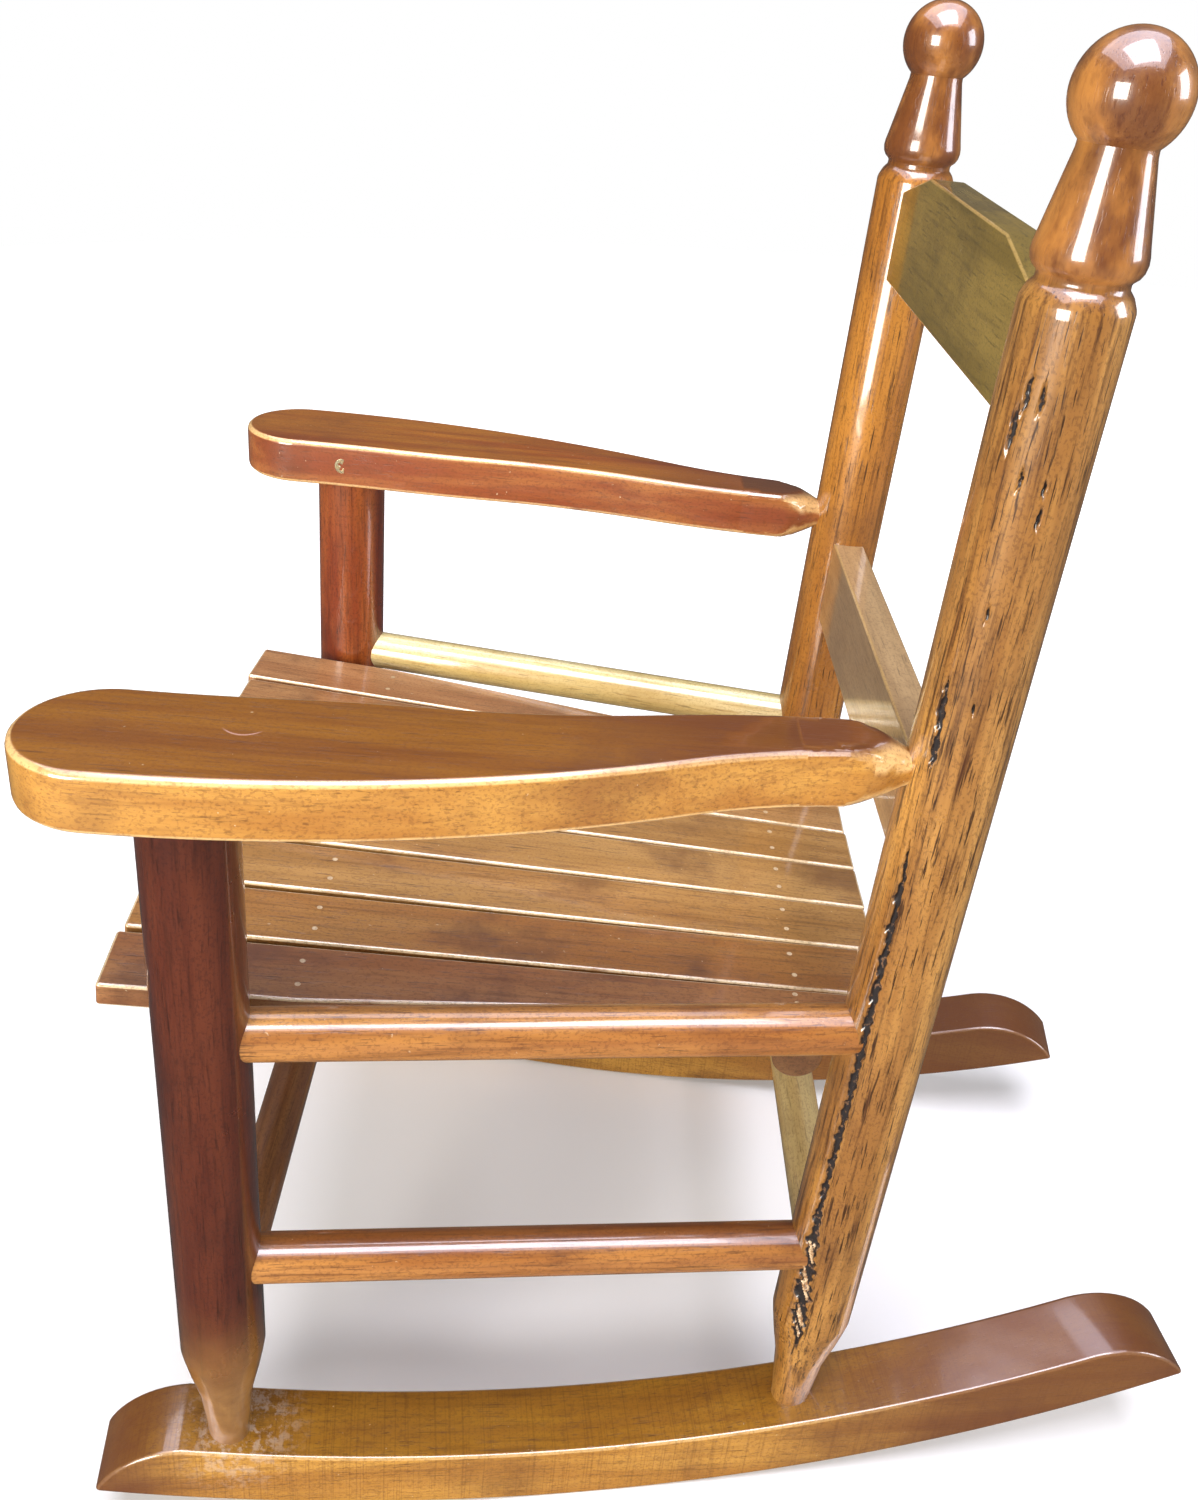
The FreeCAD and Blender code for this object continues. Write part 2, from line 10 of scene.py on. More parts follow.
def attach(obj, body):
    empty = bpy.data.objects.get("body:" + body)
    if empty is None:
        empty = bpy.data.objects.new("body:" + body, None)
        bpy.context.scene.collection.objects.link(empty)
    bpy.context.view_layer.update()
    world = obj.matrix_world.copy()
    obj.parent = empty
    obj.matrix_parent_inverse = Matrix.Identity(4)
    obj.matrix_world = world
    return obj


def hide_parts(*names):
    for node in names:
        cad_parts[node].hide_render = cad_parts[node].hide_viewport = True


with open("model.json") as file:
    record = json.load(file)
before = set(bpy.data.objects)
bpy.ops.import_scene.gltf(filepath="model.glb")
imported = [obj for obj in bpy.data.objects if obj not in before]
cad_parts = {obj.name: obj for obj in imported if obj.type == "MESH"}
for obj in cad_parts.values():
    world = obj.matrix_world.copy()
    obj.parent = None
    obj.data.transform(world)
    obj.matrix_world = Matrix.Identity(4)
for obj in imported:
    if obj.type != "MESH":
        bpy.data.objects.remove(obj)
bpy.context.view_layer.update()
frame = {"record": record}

scene = bpy.context.scene
MM = 0.001

# ------------------------------ camera
# The chair is seen from its left side and from above, at about a metre.
camera = bpy.data.objects.new("camera", bpy.data.cameras.new("camera"))
scene.collection.objects.link(camera)
camera.location = (0.5461, -0.0404, 0.6078)
camera.rotation_euler = [math.radians(turn) for turn in (60.504, -2.089, 90.677)]
camera.data.lens = 33.79
camera.data.sensor_width = 36.0
camera.data.clip_start = 0.02
scene.camera = camera
scene.view_settings.view_transform = "Standard"

# ------------------------------ light
# A white sky panel overhead, a wide window on the near side and a soft fill from behind.
# The large gloss panel is seen only in the lacquer; it lights nothing.
SKY_TINT = (0.90, 0.90, 1.0)
GLOSS_TINT = (0.86, 0.84, 1.0)
WINDOW_TINT = (1.0, 0.95, 0.88)


def panel(name, place, aim, size, power, tint):
    data = bpy.data.lights.new(name, "AREA")
    data.shape = "RECTANGLE"
    data.size, data.size_y = size
    data.energy = power
    data.color = tint
    lamp = bpy.data.objects.new(name, data)
    lamp.location = place
    lamp.rotation_euler = (Vector(aim) - Vector(place)).to_track_quat("-Z", "Y").to_euler()
    scene.collection.objects.link(lamp)
    return lamp


MIDDLE_OF_CHAIR = (0.0, 0.0, 0.3)
panel("sky_panel", (0.5, 0.1, 2.4), MIDDLE_OF_CHAIR, (1.5, 1.5), 70.0, SKY_TINT)
panel("near_window", (2.2, -1.5, 0.9), (0.0, 0.0, 0.25), (1.2, 1.3), 92.0, WINDOW_TINT)
panel("rear_fill", (0.3, 2.2, 1.0), MIDDLE_OF_CHAIR, (0.9, 1.1), 30.0, SKY_TINT)
gloss = panel("sky_gloss", (0.2, 0.0, 3.2), (0.2, 0.0, 0.0), (4.4, 4.4), 230.0, GLOSS_TINT)
gloss.visible_diffuse = False

# The room beyond the floor is seen as plain white, but adds only a little light of its own.
ROOM_SEEN, ROOM_LIGHT = 1.0, 0.08
world = bpy.data.worlds.new("pale_room")
world.use_nodes = True
room = world.node_tree.nodes["Background"]
room.inputs["Color"].default_value = (1.0, 1.0, 1.0, 1.0)
seen = world.node_tree.nodes.new("ShaderNodeLightPath")
strength = world.node_tree.nodes.new("ShaderNodeMapRange")
strength.inputs["To Min"].default_value = ROOM_LIGHT
strength.inputs["To Max"].default_value = ROOM_SEEN
world.node_tree.links.new(seen.outputs["Is Camera Ray"], strength.inputs["Value"])
world.node_tree.links.new(strength.outputs["Result"], room.inputs["Strength"])
scene.world = world

# ------------------------------ floor
# Plain pale studio floor, a wide disc that fades to white away from the chair.
FLOOR_RADIUS, FLOOR_EDGES = 3.0, 96
PALE_PAINT = (0.86, 0.86, 0.86, 1.0)
GLOW_START, GLOW_FULL = 0.1, 1.6
GLOW_NEAR, GLOW_FAR = 0.10, 0.90
floor_mesh = bpy.data.meshes.new("floor")
rim = [2 * math.pi * step / FLOOR_EDGES for step in range(FLOOR_EDGES)]
floor_mesh.from_pydata([(FLOOR_RADIUS * math.cos(turn), FLOOR_RADIUS * math.sin(turn), 0.0) for turn in rim],
                       [], [tuple(range(FLOOR_EDGES))])
floor = bpy.data.objects.new("floor", floor_mesh)
scene.collection.objects.link(floor)
floor_paint = bpy.data.materials.new("pale_floor")
floor_paint.use_nodes = True
floor_nodes = floor_paint.node_tree
floor_shader = floor_nodes.nodes["Principled BSDF"]
floor_shader.inputs["Base Color"].default_value = PALE_PAINT
floor_shader.inputs["Roughness"].default_value = 0.9
floor_shader.inputs["Specular IOR Level"].default_value = 0.1
floor_shader.inputs["Emission Color"].default_value = (1.0, 1.0, 1.0, 1.0)
far_off = floor_nodes.nodes.new("ShaderNodeVectorMath")
far_off.operation = "LENGTH"
glow = floor_nodes.nodes.new("ShaderNodeMapRange")
glow.interpolation_type = "SMOOTHSTEP"
glow.inputs["From Min"].default_value = GLOW_START
glow.inputs["From Max"].default_value = GLOW_FULL
glow.inputs["To Min"].default_value = GLOW_NEAR
glow.inputs["To Max"].default_value = GLOW_FAR
floor_nodes.links.new(floor_nodes.nodes.new("ShaderNodeTexCoord").outputs["Object"], far_off.inputs[0])
floor_nodes.links.new(far_off.outputs["Value"], glow.inputs["Value"])
floor_nodes.links.new(glow.outputs["Result"], floor_shader.inputs["Emission Strength"])
floor_mesh.materials.append(floor_paint)
floor.visible_glossy = False

# ------------------------------ front legs
# Two 34 mm dowels, their feet turned down to a spigot that is glued into the rocker.
# The tops go up into the arms. Near leg: a dark mahogany stain; far leg: a redder one.

arm_top = next(m for m in frame["record"]["mounts"] if m["name"] == "arm_top_left")
LEAN = math.atan2(arm_top["axis"][1], arm_top["axis"][2])
LEAN_TURN = Matrix.Rotation(-LEAN, 4, "X")
ARM_MARK = Vector((161.0, 30.0, 385.0)) * MM
STANCE = Matrix.Translation(Vector(arm_top["pos_m"]) - LEAN_TURN @ ARM_MARK) @ LEAN_TURN
ALONG_Z = Matrix(((0, 1, 0, 0), (0, 0, 1, 0), (1, 0, 0, 0), (0, 0, 0, 1)))
LEG_X = 162.0
ARM_UNDERSIDE = 363.0
DOWEL = 17.0
SIDES = {"left": 1, "right": -1}


def at(x, y, z):
    return Matrix.Translation(Vector((x, y, z)) * MM)


def arc_points(centre, radius, first, last, steps):
    """Profile points on a turned bead: (height, radius) pairs, the angle from the axis in degrees."""
    points = []
    for step in range(steps + 1):
        angle = math.radians(first + (last - first) * step / steps)
        points.append((centre - radius * math.cos(angle), radius * math.sin(angle)))
    return points


def add_piece(name, mesh, node, material):
    """Links a finished mesh as a piece that stands for its CAD node."""
    piece = bpy.data.objects.new(name, mesh)
    scene.collection.objects.link(piece)
    mesh.materials.clear()
    mesh.materials.append(material)
    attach(piece, "root")
    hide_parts(node)


CREASE, ROUGH_CREASE = math.radians(28), math.radians(60)
SOUND = (0.0, 0.0, 0.0)


def turned(name, profile, place, segments=72, angles=None, marks=None):
    """A lathe-turned solid along local X: profile holds (height, radius) pairs in millimetres.

    marks(height, angle) gives how far a spot is split open, how much of that is filled, and its depth.
    """
    angles = angles or [2 * math.pi * step / segments for step in range(segments)]
    segments = len(angles)
    mesh = bpy.data.meshes.new(name)
    builder = bmesh.new()
    rings = []
    wounds = []
    for height, radius in profile:
        if radius < 0.01:
            rings.append([builder.verts.new((height * MM, 0.0, 0.0))])
            wounds.append(SOUND)
            continue
        ring = []
        for angle in angles:
            wounds.append(marks(height, angle) if marks else SOUND)
            reach = radius - wounds[-1][2]
            ring.append(builder.verts.new(
                (height * MM, reach * math.cos(angle) * MM, reach * math.sin(angle) * MM)
            ))
        rings.append(ring)
    for low, high in zip(rings, rings[1:]):
        for step in range(segments):
            after = (step + 1) % segments
            below = [low[step % len(low)], low[after % len(low)]]
            above = [high[after % len(high)], high[step % len(high)]]
            unique = list(dict.fromkeys(below + above))
            if len(unique) > 2:
                builder.faces.new(unique)
    for ring, last in ((rings[0], False), (rings[-1], True)):
        if len(ring) > 1:
            builder.faces.new(ring if last else ring[::-1])
    bmesh.ops.recalc_face_normals(builder, faces=builder.faces)
    for face in builder.faces:
        face.smooth = len(face.verts) < 5
    crease = ROUGH_CREASE if marks else CREASE
    for edge in builder.edges:
        if len(edge.link_faces) == 2 and edge.calc_face_angle() > crease:
            edge.smooth = False
    builder.to_mesh(mesh)
    builder.free()
    if marks:
        for number, label in enumerate(("split", "filler")):
            layer = mesh.attributes.new(label, "FLOAT", "POINT")
            layer.data.foreach_set("value", [wound[number] for wound in wounds])
    mesh.transform(place)
    return mesh


# Stain and lacquer: short names for the shader nodes that every wood is mixed from.
def link(tree, source, target):
    tree.links.new(source, target)


def new_node(tree, kind, **settings):
    node = tree.nodes.new(kind)
    for key, value in settings.items():
        if hasattr(node, key):
            setattr(node, key, value)
        else:
            node.inputs[key.replace("_", " ").title()].default_value = value
    return node


def noise(tree, vector, scale, detail=3.0, roughness=0.55, distortion=0.0):
    node = new_node(tree, "ShaderNodeTexNoise", scale=scale, detail=detail, roughness=roughness,
                    distortion=distortion)
    link(tree, vector, node.inputs["Vector"])
    return node.outputs["Fac"]


def stretch(tree, vector, factors):
    node = new_node(tree, "ShaderNodeVectorMath", operation="MULTIPLY")
    link(tree, vector, node.inputs[0])
    node.inputs[1].default_value = factors
    return node.outputs["Vector"]


def math_node(tree, operation, first, second=0.5):
    node = new_node(tree, "ShaderNodeMath", operation=operation)
    for socket, value in zip(node.inputs, (first, second)):
        if isinstance(value, (int, float)):
            socket.default_value = value
        else:
            link(tree, value, socket)
    return node.outputs[0]


def times(tree, first, second):
    return math_node(tree, "MULTIPLY", first, second)


def plus(tree, first, second):
    return math_node(tree, "ADD", first, second)


def minus(tree, first, second):
    return math_node(tree, "SUBTRACT", first, second)


def apart(tree, vector):
    """The X, Y and Z of a vector."""
    node = new_node(tree, "ShaderNodeSeparateXYZ")
    link(tree, vector, node.inputs[0])
    return node.outputs


def facing(tree, normal, way):
    """How squarely the surface faces a way, from -1 to 1."""
    node = new_node(tree, "ShaderNodeVectorMath", operation="DOT_PRODUCT")
    link(tree, normal, node.inputs[0])
    node.inputs[1].default_value = way
    return node.outputs["Value"]


def between(tree, value, low, high):
    """0 below low, 1 above high, smooth in between."""
    node = new_node(tree, "ShaderNodeMapRange", interpolation_type="SMOOTHSTEP", from_min=low, from_max=high)
    link(tree, value, node.inputs["Value"])
    return node.outputs["Result"]


def blend(tree, factor, first, second, mode="MIX"):
    node = new_node(tree, "ShaderNodeMix", data_type="RGBA", blend_type=mode)
    for socket, value in ((node.inputs["Factor"], factor), (node.inputs[6], first), (node.inputs[7], second)):
        if isinstance(value, (int, float)):
            socket.default_value = value
        elif isinstance(value, tuple):
            socket.default_value = (*value, 1.0)
        else:
            link(tree, value, socket)
    return node.outputs[2]


def paint(tree, colour, mask, amount, pigment):
    """Lays a pigment over a colour where the mask is 1, as strongly as amount says."""
    return blend(tree, times(tree, mask, amount), colour, pigment)


def local_coordinates(tree, place, shift=0.0):
    """Object coordinates turned into a piece's own frame, local X along the grain."""
    coordinates = new_node(tree, "ShaderNodeTexCoord")
    mapping = new_node(tree, "ShaderNodeMapping", vector_type="TEXTURE")
    link(tree, coordinates.outputs["Object"], mapping.inputs["Vector"])
    mapping.inputs["Location"].default_value = place.translation
    mapping.inputs["Rotation"].default_value = place.to_euler()
    moved = new_node(tree, "ShaderNodeVectorMath", operation="ADD")
    link(tree, mapping.outputs["Vector"], moved.inputs[0])
    moved.inputs[1].default_value = (shift * 1.37, shift * 0.53, shift * 0.71)
    return mapping.outputs["Vector"], moved.outputs["Vector"], coordinates.outputs["Normal"]


SPECK = (0.62, 0.48, 0.30)
UP = (0.0, 0.0, 1.0)
GRAIN_DEPTH, GRAIN_STRENGTH = 0.0006, 0.22
COAT, COAT_ROUGHNESS, COAT_IOR = 0.85, 0.07, 1.65


def wood(name, place, dark, middle, light, seed, streaks=0.5, mottle=0.5, fleck=0.5, edge=None,
         edge_wear_and_highlight=0.0, dust=0.0, roughness=0.34, cross_lines=0.0, top=None, speckled=0.35, extra=None):
    """Stained hardwood under lacquer, its grain along local X of the given place.

    streaks, mottle, fleck, speckled and dust set how strong each kind of marking is; edge is the colour of
    rubbed edges, which also paints the highlight along their rounding; top is a painted light-and-shade tint
    for faces that look up; and extra is a function that adds a piece's own marks.
    """
    material = bpy.data.materials.new(name)
    material.use_nodes = True
    tree = material.node_tree
    shader = tree.nodes["Principled BSDF"]
    own, moved, normal = local_coordinates(tree, place, seed)
    warp = noise(tree, stretch(tree, moved, (3.0, 9.0, 9.0)), 1.0, 2.0)
    bend = new_node(tree, "ShaderNodeCombineXYZ")
    link(tree, times(tree, warp, 0.012), bend.inputs["Y"])
    link(tree, times(tree, warp, -0.009), bend.inputs["Z"])
    curved = new_node(tree, "ShaderNodeVectorMath", operation="ADD")
    link(tree, moved, curved.inputs[0])
    link(tree, bend.outputs[0], curved.inputs[1])
    run = curved.outputs["Vector"]

    # the figure: broad bands, fibres, pores and blotches of stain
    broad = noise(tree, stretch(tree, run, (5.0, 55.0, 55.0)), 1.0, 4.0, 0.6)
    fibre = noise(tree, stretch(tree, run, (22.0, 520.0, 520.0)), 1.0, 4.0, 0.65)
    pores = noise(tree, stretch(tree, run, (75.0, 1500.0, 1500.0)), 1.0, 2.0, 0.5)
    blotch = noise(tree, moved, 16.0, 5.0, 0.62)
    colour = blend(tree, between(tree, broad, 0.36, 0.66), middle, light)
    colour = paint(tree, colour, between(tree, fibre, 0.48, 0.74), streaks, dark)
    colour = paint(tree, colour, between(tree, blotch, 0.5, 0.72), mottle, dark)
    pore_mask = times(tree, between(tree, pores, 0.60, 0.70), fleck)
    colour = blend(tree, pore_mask, colour, tuple(channel * 0.35 for channel in dark))
    if cross_lines:
        lines = noise(tree, stretch(tree, own, (1400.0, 14.0, 14.0)), 1.0, 2.0)
        colour = paint(tree, colour, between(tree, lines, 0.52, 0.66), cross_lines, dark)
    # painted light and shade: faces that look up are multiplied by the top tint, lighter or darker, for how the
    # light falls on them
    if top:
        painted_top_light = between(tree, facing(tree, normal, UP), 0.55, 0.92)
        colour = blend(tree, painted_top_light, colour, blend(tree, 1.0, colour, top, "MULTIPLY"))

    # wear and painted highlight: rubbed edges, their pale colour also a painted highlight along the rounding,
    # and dust caught in the lacquer
    # the edge colour on the rounded faces is partly real wear and partly a painted highlight
    if edge:
        upright = (place.to_3x3() @ Vector(UP)).normalized()
        square = math_node(tree, "POWER", facing(tree, normal, upright), 2.0)
        ridge = times(tree, square, minus(tree, 1.0, square))
        rubbed_and_lit = times(tree, between(tree, ridge, 0.02, 0.16), edge_wear_and_highlight)
        colour = paint(tree, colour, rubbed_and_lit, between(tree, noise(tree, moved, 45.0, 4.0), 0.22, 0.5), edge)
    if dust:
        grit = between(tree, noise(tree, moved, 420.0, 2.0, 0.5), 0.735, 0.79)
        colour = paint(tree, colour, grit, dust, SPECK)
    speckle = noise(tree, stretch(tree, moved, (0.7, 1.0, 1.0)), 950.0, 2.0, 0.6)
    colour = paint(tree, colour, between(tree, speckle, 0.50, 0.64), speckled, dark)

    # relief and gloss
    height = minus(tree, times(tree, fibre, 0.5), pore_mask)
    height = plus(tree, height, times(tree, noise(tree, moved, 70.0, 2.0), 1.2))
    rough = plus(tree, times(tree, blotch, 0.22), roughness - 0.11)
    if extra:
        colour, rough, height = extra(tree, own, moved, colour, rough, height)
    bump = new_node(tree, "ShaderNodeBump", strength=GRAIN_STRENGTH, distance=GRAIN_DEPTH)
    link(tree, height, bump.inputs["Height"])
    link(tree, colour, shader.inputs["Base Color"])
    link(tree, rough, shader.inputs["Roughness"])
    link(tree, bump.outputs["Normal"], shader.inputs["Normal"])
    shader.inputs["Coat Weight"].default_value = COAT
    shader.inputs["Coat Roughness"].default_value = COAT_ROUGHNESS
    shader.inputs["Coat IOR"].default_value = COAT_IOR
    return material


TENON_END, SHOULDER, TENON_RADIUS = 17.0, 43.0, 8.5
FOOT = [
    (TENON_END, 0.0), (TENON_END, TENON_RADIUS), (SHOULDER, TENON_RADIUS), (46.0, 8.75), (70.0, 11.2),
    (84.0, 14.3), (94.0, 16.2), (99.0, DOWEL),
]
LEG_TOP = ARM_UNDERSIDE + 6.0


def rubbed_foot(tree, own, moved, colour, rough, height):
    """The stain is thin on the taper, so the foot shows amber."""
    uneven = times(tree, noise(tree, moved, 40.0), 0.05)
    level = plus(tree, apart(tree, own)["X"], uneven)
    thin = minus(tree, 1.0, between(tree, level, 0.100, 0.165))
    amber_wood = blend(tree, noise(tree, moved, 160.0, 3.0), (0.17, 0.065, 0.015), (0.42, 0.22, 0.060))
    return paint(tree, colour, thin, 0.8, amber_wood), rough, height


leg_stains = {
    "left": dict(dark=(0.018, 0.004, 0.002), middle=(0.078, 0.014, 0.005), light=(0.120, 0.026, 0.008)),
    "right": dict(dark=(0.030, 0.004, 0.002), middle=(0.20, 0.033, 0.007), light=(0.36, 0.095, 0.017)),
}
for side, sign in SIDES.items():
    place = STANCE @ at(sign * LEG_X, 0, 0) @ ALONG_Z
    profile = FOOT + [(LEG_TOP, DOWEL), (LEG_TOP, 0.0)]
    stain = wood(f"leg_stain_{side}", place, seed=3.0 + sign, streaks=0.55, roughness=0.30, extra=rubbed_foot,
                 **leg_stains[side])
    add_piece(f"turned_front_leg_{side}", turned(f"turned_front_leg_{side}", profile, place),
              f"front_leg_{side}", stain)

# ------------------------------ rear posts
# The same dowel carried up to a bevelled ring, an undercut, a cone and a ball, all turned in one piece.
# The near post was cut through a resin pocket: a long dark split runs down its front face.
POST_X, POST_Y = 126.5, 247.0
POST_LEAN = Matrix.Rotation(-math.radians(1.05), 4, "X")
FINIAL = [
    (531.0, 17.0), (532.2, 16.7), (535.0, 15.4), (536.0, 14.6), (537.0, 13.7), (538.6, 13.6), (539.4, 14.0),
    (540.6, 15.4), (542.2, 16.3), (544.4, 16.7), (546.6, 16.5), (549.2, 15.9), (572.0, 11.3), (574.0, 11.2),
]
BALL_CENTRE, BALL_RADIUS = 586.65, 16.9
ball = arc_points(BALL_CENTRE, BALL_RADIUS, 41.5, 180.0, 26)
post_stains = {
    "left": dict(streaks=0.95, dark=(0.050, 0.014, 0.004), middle=(0.27, 0.115, 0.022),
                 light=(0.52, 0.26, 0.058)),
    "right": dict(streaks=0.8, dark=(0.07, 0.022, 0.005), middle=(0.32, 0.118, 0.014),
                  light=(0.48, 0.200, 0.028)),
}
# The split's course up the post: height, angle about the axis and half width, both in degrees.
SPLIT_COURSE = (
    (92.0, -26.0, 0.0), (99.0, -29.0, 11.0), (129.0, -38.0, 14.0), (150.0, -40.0, 10.0), (172.0, -43.0, 5.0),
    (237.0, -41.0, 5.5), (275.0, -42.0, 6.0), (335.0, -44.0, 4.0), (352.0, -47.0, 0.0), (380.0, -44.0, 0.0),
    (386.0, -45.0, 5.0), (409.0, -50.5, 4.0), (414.0, -50.5, 0.0),
)
# Small resin marks higher up: height, angle and length.
RESIN_MARKS = (
    (506.7, -43.0, 6.0), (506.4, -27.0, 4.0), (495.7, -49.0, 7.0), (480.6, -2.0, 2.5), (471.0, 0.0, 3.5),
    (482.0, -28.0, 3.0), (405.8, -14.0, 2.0), (438.5, -26.0, 2.5),
)
FILLER_START, FILLER_END = 98.0, 152.0
SPLIT_DEPTH = 1.5


def ragged(height, seed):
    """A repeatable uneven value between 0 and 1 along the height."""
    return 0.5 + 0.25 * math.sin(height * 0.43 + seed) + 0.25 * math.sin(
        height * 1.17 + seed * 2.1 + 1.4 * math.sin(height * 0.19 + seed))


def split_mark(height, angle):
    """How far a spot on the near post is split open, how much of that is filled, and its depth."""
    turn = math.degrees((angle + math.pi) % (2 * math.pi) - math.pi)
    split = filler = 0.0
    for low, high in zip(SPLIT_COURSE, SPLIT_COURSE[1:]):
        if low[0] <= height < high[0]:
            share = (height - low[0]) / (high[0] - low[0])
            middle = low[1] + (high[1] - low[1]) * share + 3.0 * (ragged(height, 2.0) - 0.5)
            reach = (low[2] + (high[2] - low[2]) * share) * (0.35 + 0.9 * ragged(height, 5.0))
            if reach > 0.1:
                offset = abs(turn - middle) / reach
                split = min(max(1.35 - offset, 0.0) * 1.6, 1.0)
                if FILLER_START < height < FILLER_END and ragged(height * 0.8 + turn * 0.5, 9.0) > 0.52:
                    filler = min(max(0.75 - offset, 0.0) * 4.0, 1.0)
    for spot_height, spot_angle, size in RESIN_MARKS:
        sideways = turn - spot_angle + 3.0 * (ragged(height * 2.0, spot_height) - 0.5)
        away = math.hypot((height - spot_height) / size, sideways / (1.2 + size * 0.25))
        split = max(split, min(max(1.3 - away, 0.0) * 1.5, 1.0) * 0.85)
    return split, filler, SPLIT_DEPTH * split * (1.0 - 0.75 * filler)


def finial_colour(tree, own, moved, colour, rough, height):
    """The stain gathered on the turned finial, which is a deeper brown than the shaft."""
    high = times(tree, between(tree, apart(tree, own)["X"], 0.531, 0.541), 0.8)
    mottled = between(tree, noise(tree, stretch(tree, moved, (0.5, 1.0, 1.0)), 60.0, 4.0, 0.6), 0.40, 0.66)
    brown = blend(tree, mottled, (0.110, 0.030, 0.009), (0.40, 0.160, 0.034))
    return blend(tree, high, colour, brown), rough, height


def split_colour(tree, own, moved, colour, rough, height):
    """Near-black resin in the split, tan filler and cream crumbs in places."""
    colour, rough, height = finial_colour(tree, own, moved, colour, rough, height)
    opened = new_node(tree, "ShaderNodeAttribute", attribute_name="split").outputs["Fac"]
    filled = new_node(tree, "ShaderNodeAttribute", attribute_name="filler").outputs["Fac"]
    crumbs = noise(tree, moved, 520.0, 3.0)
    checks = noise(tree, stretch(tree, moved, (34.0, 620.0, 620.0)), 1.0, 3.0, 0.6, 0.2)
    shaft_only = minus(tree, 1.0, between(tree, apart(tree, own)["X"], 0.50, 0.53))
    fine_checks = times(tree, between(tree, checks, 0.60, 0.66), shaft_only)
    colour = paint(tree, colour, fine_checks, 0.85, (0.030, 0.010, 0.004))
    black = blend(tree, between(tree, crumbs, 0.56, 0.66), (0.010, 0.005, 0.004), (0.16, 0.075, 0.030))
    paste = blend(tree, between(tree, crumbs, 0.40, 0.62), (0.30, 0.15, 0.055), (0.66, 0.47, 0.27))
    worn = plus(tree, opened, times(tree, noise(tree, moved, 300.0), 0.5))
    colour = blend(tree, between(tree, worn, 0.50, 0.85), colour, black)
    colour = blend(tree, between(tree, filled, 0.2, 0.7), colour, paste)
    return colour, plus(tree, rough, times(tree, opened, 0.4)), height


SHAFT_START, SHAFT_END, RING_STEP = 100.0, 530.0, 1.2
SHAFT_RINGS = int((SHAFT_END - SHAFT_START) / RING_STEP)
shaft = [(SHAFT_START + RING_STEP * step, DOWEL) for step in range(SHAFT_RINGS)]
fine_turns = [math.radians(-72.0 + 0.8 * step) for step in range(100)]
coarse_turns = [math.radians(10.0 + 5.0 * step) for step in range(55)]
for side, sign in SIDES.items():
    place = STANCE @ at(sign * POST_X, POST_Y, 0) @ POST_LEAN @ ALONG_Z
    near = side == "left"
    profile = FOOT + (shaft if near else []) + FINIAL + ball[:-1] + [(BALL_CENTRE + BALL_RADIUS, 0.0)]
    stain = wood(f"post_stain_{side}", place, seed=7.0 + sign, mottle=0.35, fleck=0.9, roughness=0.30,
                 extra=split_colour if near else finial_colour, **post_stains[side])
    marks = dict(angles=fine_turns + coarse_turns, marks=split_mark) if near else {}
    mesh = turned(f"turned_rear_post_{side}", profile, place, **marks)
    add_piece(f"turned_rear_post_{side}", mesh, f"rear_post_{side}", stain)

# ------------------------------ stretchers
# 20 mm dowels, glued 12 mm deep into the legs and posts.
STRETCHER = 10.0
POST_SLOPE = math.tan(math.radians(1.05))
BORE = 12.0


def post_y(height):
    return POST_Y + height * POST_SLOPE


def along(start, end):
    """A place whose local X runs from one point to another."""
    way = (end - start).normalized()
    turn = way.to_track_quat("X", "Z").to_matrix().to_4x4()
    return STANCE @ Matrix.Translation(start * MM) @ turn


def stretcher(name, node, start, end, stain):
    start, end = Vector(start), Vector(end)
    inset = DOWEL - BORE
    run = (end - start).length - inset
    place = along(start, end)
    profile = [(inset, 0.0), (inset, STRETCHER), (run, STRETCHER), (run, 0.0)]
    material = wood(f"{name}_stain", place, **stain)
    add_piece(name, turned(name, profile, place, 56), node, material)


amber = dict(dark=(0.085, 0.022, 0.006), middle=(0.28, 0.095, 0.018), light=(0.46, 0.20, 0.045))
# painted highlight: the far upper stretcher's pale honey stain stands in for the gloss highlight along it
honey_painted_highlight = dict(dark=(0.40, 0.23, 0.05), middle=(0.64, 0.47, 0.17), light=(0.80, 0.66, 0.36))
olive = dict(dark=(0.22, 0.13, 0.045), middle=(0.50, 0.35, 0.13), light=(0.62, 0.48, 0.21))
umber = dict(dark=(0.06, 0.018, 0.008), middle=(0.17, 0.065, 0.022), light=(0.27, 0.12, 0.042))
# painted light: the upper side stretchers' tops are lightened as a painted highlight, the lower ones' darkened
# as painted shade
stretcher_top_light = {"upper": (1.35, 1.5, 1.6), "lower": (0.55, 0.45, 0.45)}
side_stains = {
    ("upper", "left"): amber, ("lower", "left"): amber, ("upper", "right"): honey_painted_highlight, ("lower", "right"): umber,
}
